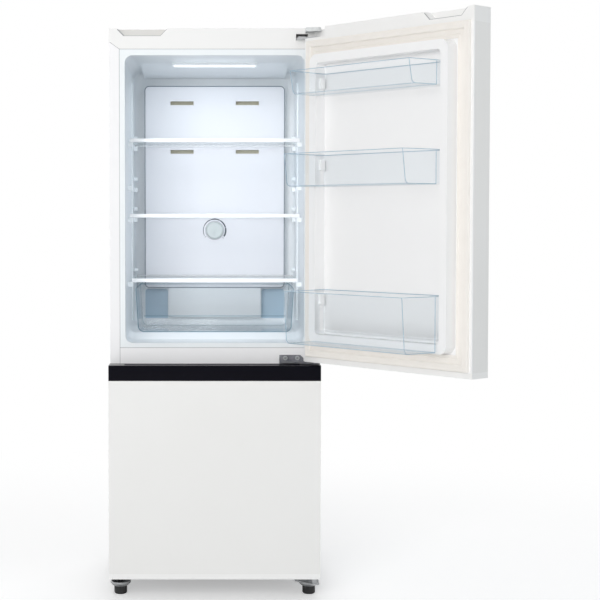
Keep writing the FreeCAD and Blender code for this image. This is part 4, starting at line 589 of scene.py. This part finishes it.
def dial_scale():
    """The printed scale round the dial, as thin raised ink.

    It is an arc in five steps that widens clockwise, a ring round the knob and three marks.
    """
    middle = Vector(joint("dial_turn")["pos_m"])
    middle.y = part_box("duct_cover")[0].y

    def make(shape):
        span = (SCALE_END - SCALE_START) / SCALE_STEPS
        for number in range(SCALE_STEPS):
            start = SCALE_START + number * span + SCALE_GAP / 2
            levels = []
            for y in (middle.y - SCALE_PROUD, middle.y + SCALE_SUNK):
                level = []
                for step in range(ARC_STEPS + 1):
                    angle = start + (span - SCALE_GAP) * step / ARC_STEPS
                    share = (number + step / ARC_STEPS) / SCALE_STEPS
                    width = SCALE_THIN + (SCALE_WIDE - SCALE_THIN) * share
                    level.append([
                        shape.verts.new(point_round((middle.x, y, middle.z), radius, angle))
                        for radius in (SCALE_RADIUS - width, SCALE_RADIUS)
                    ])
                levels.append(level)
            front, rear = levels
            for here in range(ARC_STEPS):
                after = here + 1
                for level in levels:
                    shape.faces.new((*level[here], *reversed(level[after])))
                for edge in (0, 1):
                    shape.faces.new((front[here][edge], front[after][edge],
                                     rear[after][edge], rear[here][edge]))
            for end in (0, ARC_STEPS):
                shape.faces.new((*front[end], *reversed(rear[end])))

    def make_marks(shape):
        turn = 360 / KNOB_STEPS
        ring = arc_points(middle, KNOB_RING, 0, 360 - turn, KNOB_STEPS - 1)
        add_strip(shape, ring, KNOB_LINE, SCALE_PROUD, closed=True)
        for angle in (SCALE_START - MARK_BEYOND, 0, SCALE_END + MARK_BEYOND):
            ends = [point_round(middle, radius, angle)
                    for radius in (MARK_START, SCALE_RADIUS + MARK_PAST)]
            add_strip(shape, ends, MARK_LINE, SCALE_PROUD)

    new_piece("dial_scale", make, "hinge_grey", "cabinet", shade="dial_ink_and_recess_shade")
    new_piece("dial_marks", make_marks, "hinge_grey", "cabinet", shade="dial_ink_and_recess_shade")


# ---------------------------------------------------------------- seams and small fittings

SEAM = 1.1 * MM
SEAM_PROUD = 0.12 * MM
MITRE_RISE = 18 * MM
PANEL_EDGE = 1 * MM


def cabinet_seams():
    """The thin dark joints where trim, side flanges, liner rim and beam meet on the face."""
    rim_low, rim_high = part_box("fridge_liner")
    corner = abs(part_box("side_panel_left")[0].x) - PANEL_EDGE
    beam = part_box("mid_beam")[0].z
    face = rim_low.y

    def make(shape):
        for side, edge in ((1, rim_high.x), (-1, rim_low.x)):
            line = [(side * corner, face, rim_high.z + MITRE_RISE), (edge, face, rim_high.z),
                    (edge, face, beam)]
            add_strip(shape, line, SEAM, SEAM_PROUD)
        for height in (rim_high.z, rim_low.z):
            line = [(rim_low.x, face, height), (rim_high.x, face, height)]
            add_strip(shape, line, SEAM, SEAM_PROUD)

    new_piece("cabinet_seams", make, "white_trim", "cabinet", shade="seam_shadow")


GRIP_LEFT, GRIP_RIGHT = -256 * MM, -123 * MM
GRIP_TAPER = 19 * MM
GRIP_DEPTH = 27 * MM
GRIP_WALL_DROP = 0.3 * MM
GRIP_LINE_DROP = 0.6 * MM
GRIP_LINE_SHORT = 2 * MM


def grip_line(top, short=0):
    """The mouth of a finger recess as (x, z) points, from left to right round its floor.

    The two ends can stop short of the top.
    """
    floor = top - GRIP_TAPER
    return [(GRIP_LEFT + short, top - short), (GRIP_LEFT + GRIP_TAPER, floor),
            (GRIP_RIGHT - GRIP_TAPER, floor), (GRIP_RIGHT - short, top - short)]


def grip_marks():
    """Painted shadow lines along the edges of the finger recesses in trim and door cap, and a plate of painted
    shade on the trim recess's rear wall.
    """
    trim_low, trim_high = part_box("top_trim")
    cap_high = closed_box("fridge_door_caps")[1]

    def line(y, top):
        return [(x, y, z) for x, z in grip_line(top - GRIP_LINE_DROP, GRIP_LINE_SHORT)]

    # A grey-beige plate on the recess's rear wall, painted shade.
    def make_shade_wall(shape):
        wall = trim_low.y + GRIP_DEPTH
        add_plate(shape, grip_line(trim_high.z - GRIP_WALL_DROP), wall - 2 * SEAM_PROUD,
                  wall + SUNK)

    def make_trim_shadow_edge(shape):
        # A dark line along the recess's mouth, painted shadow under its ledge.
        edge = line(trim_low.y, trim_high.z)
        add_strip(shape, edge, SEAM, SEAM_PROUD)
        # The slanted left end gets a wider line: more painted shade there.
        add_strip(shape, edge[:2], 2.5 * SEAM, 2 * SEAM_PROUD)

    def make_cap_shadow_edge(shape):
        # A dark line along the cap recess's mouth, painted shadow under its ledge.
        edge = line(cap_high.y, cap_high.z)
        add_strip(shape, edge, SEAM, -SEAM_PROUD, sunk=-SUNK)
        # The slanted right end gets a wider line: more painted shade there.
        add_strip(shape, edge[2:], 1.8 * SEAM, -2 * SEAM_PROUD, sunk=-SUNK)

    new_piece("trim_grip_wall_shade", make_shade_wall, "white_trim", "cabinet", shade="grip_painted_shade")
    new_piece("trim_grip_shadow_edge", make_trim_shadow_edge, "white_trim", "cabinet", shade="seam_shadow")
    new_piece("door_grip_shadow_edge", make_cap_shadow_edge, "white_trim", "fridge_door", SWING,
              shade="seam_shadow")


DUCT_SEAM_INSET = 2.2 * MM
DUCT_SEAM_CORNER = 12 * MM


def duct_seam():
    """The shadow line round the edge of the duct cover."""
    low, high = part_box("duct_cover")
    outline = [(x, low.y, z) for x, z in ring_outline(low, high, DUCT_SEAM_INSET, DUCT_SEAM_CORNER)]

    def make(shape):
        add_strip(shape, outline, 2 * SEAM, SEAM_PROUD, closed=True)

    new_piece("duct_outline", make, "duct_white", "cabinet", shade="edge_shadow")


STRIP_RISE = 2.8 * MM
STRIP_HEIGHT = 5 * MM
STRIP_INSET = 6 * MM
STRIP_END = 4 * MM


def lamp_strip():
    """The lit strip across the lens of the lamp."""
    low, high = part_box("lamp_lens")
    reach = high.x - STRIP_INSET
    places = (-reach, STRIP_END - reach, reach - STRIP_END, reach)

    def make(shape):
        line = [(x, low.y, low.z + STRIP_RISE) for x in places]
        add_strip(shape, line, STRIP_HEIGHT, SUNK)

    new_piece("lamp_lit_strip", make, "lamp_white", "cabinet", shade="lamp_glow")


POCKET_INNER, POCKET_OUTER = 137 * MM, 203 * MM
POCKET_CORNER = 7 * MM
POCKET_DROP = 4 * MM
LINER_WALL = 2 * MM


def rear_pocket_shade_plates():
    """Painted shade: two darker bluish plates on the rear wall beside the boss behind the crisper."""
    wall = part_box("fridge_liner")[1].y - LINER_WALL
    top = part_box("duct_cover")[0].z - POCKET_DROP
    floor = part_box("crisper_drawer")[0].z

    def make(shape):
        for left, right in ((-POCKET_OUTER, -POCKET_INNER), (POCKET_INNER, POCKET_OUTER)):
            low, high = Vector((left, wall, floor)), Vector((right, wall, top))
            outline = ring_outline(low, high, 0, POCKET_CORNER)
            add_plate(shape, outline, wall - SEAM_PROUD, wall + SUNK)

    new_piece("rear_pocket_shade_plates", make, "white_liner", "cabinet", shade="pocket_painted_shade")


SCREW_STEPS = 24
# Share of the head's radius, and depth behind the head's face.
SCREW_DOME = ((1, 2.4 * MM), (0.97, 1.2 * MM), (0.8, 0.5 * MM), (0.45, 0.1 * MM))
CROSS_REACH = 0.55
CROSS_HALF = 0.7 * MM
CROSS_DEPTH = 0.4 * MM
CROSS_TURN = 25


def screw_heads():
    """Domed heads over the middle hinge's two screws, and a dark cross on each that is painted shade for its cross
    recess.
    """
    low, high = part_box("hinge_screws")
    radius = (high.z - low.z) / 2
    level = (high.z + low.z) / 2
    face = low.y
    places = (low.x + radius, high.x - radius)

    def make(shape):
        for x in places:
            rings = []
            for share, depth in SCREW_DOME:
                middle = (x, face + depth, level)
                outline = arc_points(middle, radius * share, 0, 360, SCREW_STEPS)[:-1]
                rings.append([shape.verts.new(point) for point in outline])
            for ring, following in zip(rings, rings[1:]):
                close_between(shape, ring, following)
            shape.faces.new(rings[0])
            shape.faces.new(rings[-1])

    # A dark cross standing just proud of each dome: painted shade where the cross recess lies.
    def make_recess_shade(shape):
        arm = radius * CROSS_REACH
        for x in places:
            outline = []
            for quarter in range(4):
                angle = math.radians(90 * quarter + CROSS_TURN)
                along = Vector((math.cos(angle), math.sin(angle)))
                across = Vector((-along.y, along.x)) * CROSS_HALF
                for point in (along * arm - across, along * arm + across,
                              along * CROSS_HALF + across):
                    outline.append((x + point.x, level + point.y))
            add_plate(shape, outline, face, face + CROSS_DEPTH)

    smooth(new_piece("hinge_screw_domes", make, "zinc_steel", "cabinet"), 50)
    new_piece("hinge_screw_recess_shade", make_recess_shade, "zinc_steel", "cabinet", shade="dial_ink_and_recess_shade")


# ---------------------------------------------------------------- edges of the clear pieces

PIPE = 0.8 * MM
PIPE_SIDES = 6


def add_pipe(shape, points, radius=PIPE, closed=False):
    """A thin rod along a line of points, the thick edge of a clear wall."""
    points = [Vector(point) for point in points]
    count = len(points)
    rings = []
    side = None
    for number, point in enumerate(points):
        before = points[number - 1] if closed or number > 0 else point
        after = points[(number + 1) % count] if closed or number < count - 1 else point
        along = (after - before).normalized()
        side = along.orthogonal() if side is None else side - along * side.dot(along)
        side.normalize()
        third = along.cross(side)
        ring = []
        for step in range(PIPE_SIDES):
            angle = 2 * math.pi * step / PIPE_SIDES
            spoke = side * math.cos(angle) + third * math.sin(angle)
            ring.append(shape.verts.new(point + spoke * radius))
        rings.append(ring)
    for ring, following in zip(rings, rings[1:]):
        close_between(shape, ring, following)
    if closed:
        # The last ring may have turned against the first, so it meets the nearest vertices.
        gaps = [(rings[-1][0].co - vertex.co).length for vertex in rings[0]]
        shift = gaps.index(min(gaps))
        close_between(shape, rings[-1], rings[0][shift:] + rings[0][:shift])
    else:
        shape.faces.new(rings[0])
        shape.faces.new(rings[-1])


EDGE_DEPTH = 1.1 * MM
BIN_CORNER = 12 * MM
BIN_CORNER_STEPS = 4
BIN_LEAN = 9 * MM
BIN_FOLD = 34 * MM
BIN_END_LINES = (0, 14 * MM)


def bin_edges(name, node, body):
    """The thick edges of a clear door bin: its rim, the profile at each end, and the folds."""
    low, high = closed_box(node)
    left, right = low.x + EDGE_DEPTH, high.x - EDGE_DEPTH
    rear, front = low.y + EDGE_DEPTH, high.y - EDGE_DEPTH
    base, top = low.z + EDGE_DEPTH, high.z - EDGE_DEPTH
    fold = left + BIN_CORNER
    turn_y = front - BIN_LEAN - BIN_CORNER
    under_rim = top - 2 * PIPE

    def profile(x):
        """Down the front wall at one x and round its lower edge."""
        points = [(x, front, top), (x, front - BIN_LEAN, base + BIN_CORNER)]
        for step in range(1, BIN_CORNER_STEPS + 1):
            angle = math.radians(90 * step / BIN_CORNER_STEPS)
            points.append((x, turn_y + BIN_CORNER * math.cos(angle),
                           base + BIN_CORNER * (1 - math.sin(angle))))
        return points

    def make(shape):
        rim = [(left, rear, top), (right, rear, top), (right, front, top), (fold, front, top),
               (left, BIN_FOLD, top)]
        add_pipe(shape, rim, closed=True)
        add_pipe(shape, [*profile(right), (right, BIN_FOLD, base)])
        add_pipe(shape, [*profile(fold), (left, BIN_FOLD, base)])
        add_pipe(shape, [(left, BIN_FOLD, base), (left, BIN_FOLD, under_rim)])
        for inset in BIN_END_LINES:
            y = rear + inset
            add_pipe(shape, [(left, y, base + 2 * BIN_CORNER), (left, y, under_rim)], 1.3 * PIPE)
        add_pipe(shape, [(left, BIN_FOLD, base), (right, BIN_FOLD, base)], 1.2 * PIPE)
        add_pipe(shape, [(fold, turn_y, base), (right, turn_y, base)])

    smooth(new_piece(name, make, "clear_plastic", body, SWING, shade="bin_edge"))


CRISPER_CORNER = 16 * MM
CRISPER_CORNER_STEPS = 5
CRISPER_CHAMFER = 13 * MM
CRISPER_DRAFT = 6 * MM
CRISPER_RIDGE = 2.5 * MM
CRISPER_RIDGE_LEVEL = 1 / 3


def crisper_edges():
    """The thick edges of the clear crisper, front and rear, and the ridge along its front."""
    low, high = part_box("crisper_drawer")
    wide = high.x - EDGE_DEPTH
    narrow = wide - CRISPER_DRAFT
    base, top = low.z + EDGE_DEPTH, high.z - EDGE_DEPTH

    def outline(y):
        """Down the left side, round the floor's corners and up the right side."""
        points = []
        for side in (-1, 1):
            half = [(side * (wide - CRISPER_CHAMFER), y, top),
                    (side * wide, y, top - CRISPER_CHAMFER)]
            for step in range(CRISPER_CORNER_STEPS + 1):
                angle = math.radians(90 * step / CRISPER_CORNER_STEPS)
                half.append((side * (narrow - CRISPER_CORNER * (1 - math.cos(angle))), y,
                             base + CRISPER_CORNER * (1 - math.sin(angle))))
            points += half if side < 0 else half[::-1]
        return points

    def make(shape):
        front = low.y + EDGE_DEPTH
        add_pipe(shape, outline(front + CRISPER_RIDGE), 1.2 * PIPE, closed=True)
        add_pipe(shape, outline(high.y - EDGE_DEPTH), closed=True)
        reach = narrow - CRISPER_CORNER
        level = low.z + (high.z - low.z) * CRISPER_RIDGE_LEVEL
        add_pipe(shape, [(x, front, level) for x in (-reach, 0, reach)])

    smooth(new_piece("crisper_edge", make, "clear_plastic", "crisper", shade="crisper_edge"))


# ---------------------------------------------------------------- stage and light

FLOOR_COLOUR = (0.88, 0.88, 0.88)
FLOOR_SIDE = 60
FLOOR_LIFT = 0.36
SHADOW_REACH, WHITE_REACH = 0.7, 2.4


def add_stage():
    """A pale floor that shows white to the camera but keeps the object's shadow."""
    bpy.ops.mesh.primitive_plane_add(size=FLOOR_SIDE)
    floor = bpy.context.object
    floor.name = "Floor"
    material = new_material("floor", FLOOR_COLOUR, 0.9, Specular_IOR_Level=0)
    tree = material.node_tree
    coordinates = add_node(tree, "ShaderNodeTexCoord")
    distance = add_node(tree, "ShaderNodeVectorMath")
    distance.operation = "LENGTH"
    link(tree, coordinates, "Object", distance, "Vector")
    fade = map_range(tree, distance, "Value", From_Min=SHADOW_REACH, From_Max=WHITE_REACH)
    fade.interpolation_type = "SMOOTHSTEP"
    lift = add_node(tree, "ShaderNodeEmission", Strength=FLOOR_LIFT)
    near = add_node(tree, "ShaderNodeAddShader")
    link(tree, shader_of(material), "BSDF", near, 0)
    link(tree, lift, "Emission", near, 1)
    white = add_node(tree, "ShaderNodeEmission", Strength=1.0)
    seen = mix_shaders(tree, fade, "Result", near, white)
    path = add_node(tree, "ShaderNodeLightPath")
    show(tree, mix_shaders(tree, path, "Is Camera Ray", shader_of(material), seen))
    floor.data.materials.append(material)


WORLD_COLOUR = (0.97, 0.985, 1.0, 1)
WORLD_STRENGTH = 0.37


def add_world():
    """Soft light from all round, and plain white for camera, gloss and clear rays."""
    world = bpy.data.worlds.new("Studio")
    bpy.context.scene.world = world
    world.use_nodes = True
    tree = world.node_tree
    soft = tree.nodes["Background"]
    set_inputs(soft, {"Color": WORLD_COLOUR, "Strength": WORLD_STRENGTH})
    white = add_node(tree, "ShaderNodeBackground", Color=(1, 1, 1, 1))
    path = add_node(tree, "ShaderNodeLightPath")
    clear_or_gloss = combine(tree, "MAXIMUM", path, "Is Glossy Ray", path, "Is Transmission Ray")
    seen = combine(tree, "MAXIMUM", path, "Is Camera Ray", clear_or_gloss, "Value")
    show(tree, mix_shaders(tree, seen, "Value", soft, white), "World Output")


def add_lamp(name, place, aim, size, power, colour=(1, 1, 1)):
    data = bpy.data.lights.new(name, "AREA")
    data.shape = "RECTANGLE"
    data.size, data.size_y = size
    data.energy = power
    data.color = colour
    lamp = bpy.data.objects.new(name, data)
    bpy.context.scene.collection.objects.link(lamp)
    lamp.location = place
    lamp.rotation_euler = (Vector(aim) - Vector(place)).to_track_quat("-Z", "Y").to_euler()
    lamp.visible_camera = False
    lamp.visible_glossy = False


MIDDLE = (0, 0, 0.8)
LENS_AIR = 3 * MM
LENS_LAMP_WIDTH = 40 * MM
CAVITY_PLACE, CAVITY_AIM = (0, 0.06, 1.0), 0.96
CAVITY_SIZE = (0.34, 0.55)


def add_lights():
    """Four lamps round the object, one under the lamp lens and one in the fridge's opening."""
    add_lamp("Key", (-1.2, -4.8, 1.9), MIDDLE, (2.6, 2.2), 122, (1.0, 0.99, 0.975))
    add_lamp("Fill", (2.8, -2.6, 1.4), MIDDLE, (1.6, 2.4), 10, (0.72, 0.89, 1.0))
    add_lamp("Above", (0, -0.4, 4.2), MIDDLE, (3.0, 3.0), 22)
    add_lamp("Behind", (0.6, 4.2, 2.4), MIDDLE, (3.0, 2.4), 45)
    lens_low, lens_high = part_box("lamp_lens")
    duct_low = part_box("duct_cover")[0]
    under_lens = (lens_low + lens_high) / 2
    under_lens.z = lens_low.z - LENS_AIR
    add_lamp("Inside", under_lens, (0, duct_low.y, duct_low.z),
             (lens_high.x - lens_low.x, LENS_LAMP_WIDTH), 0.18, (0.80, 0.91, 1.0))
    add_lamp("Cavity", CAVITY_PLACE, (0, duct_low.y, CAVITY_AIM), CAVITY_SIZE, 0.45,
             (0.83, 0.90, 1.0))


# ---------------------------------------------------------------- the scene

bpy.context.scene.view_settings.view_transform = "Standard"
add_camera()
add_stage()
add_world()
add_lights()
dress_nodes()
gasket_low, gasket_high = closed_box("fridge_door_gasket")
gasket("fridge_gasket_profile", "fridge_door_gasket", gasket_low, gasket_high, "fridge_door", SWING)
gasket("freezer_gasket_profile", "freezer_door_gasket", *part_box("freezer_door_gasket"),
       "freezer_door")
dial_scale()
cabinet_seams()
grip_marks()
duct_seam()
lamp_strip()
rear_pocket_shade_plates()
screw_heads()
crisper_edges()
for level in ("top", "middle", "bottom"):
    bin_edges(level + "_bin_edge", "door_bin_" + level, level + "_bin")
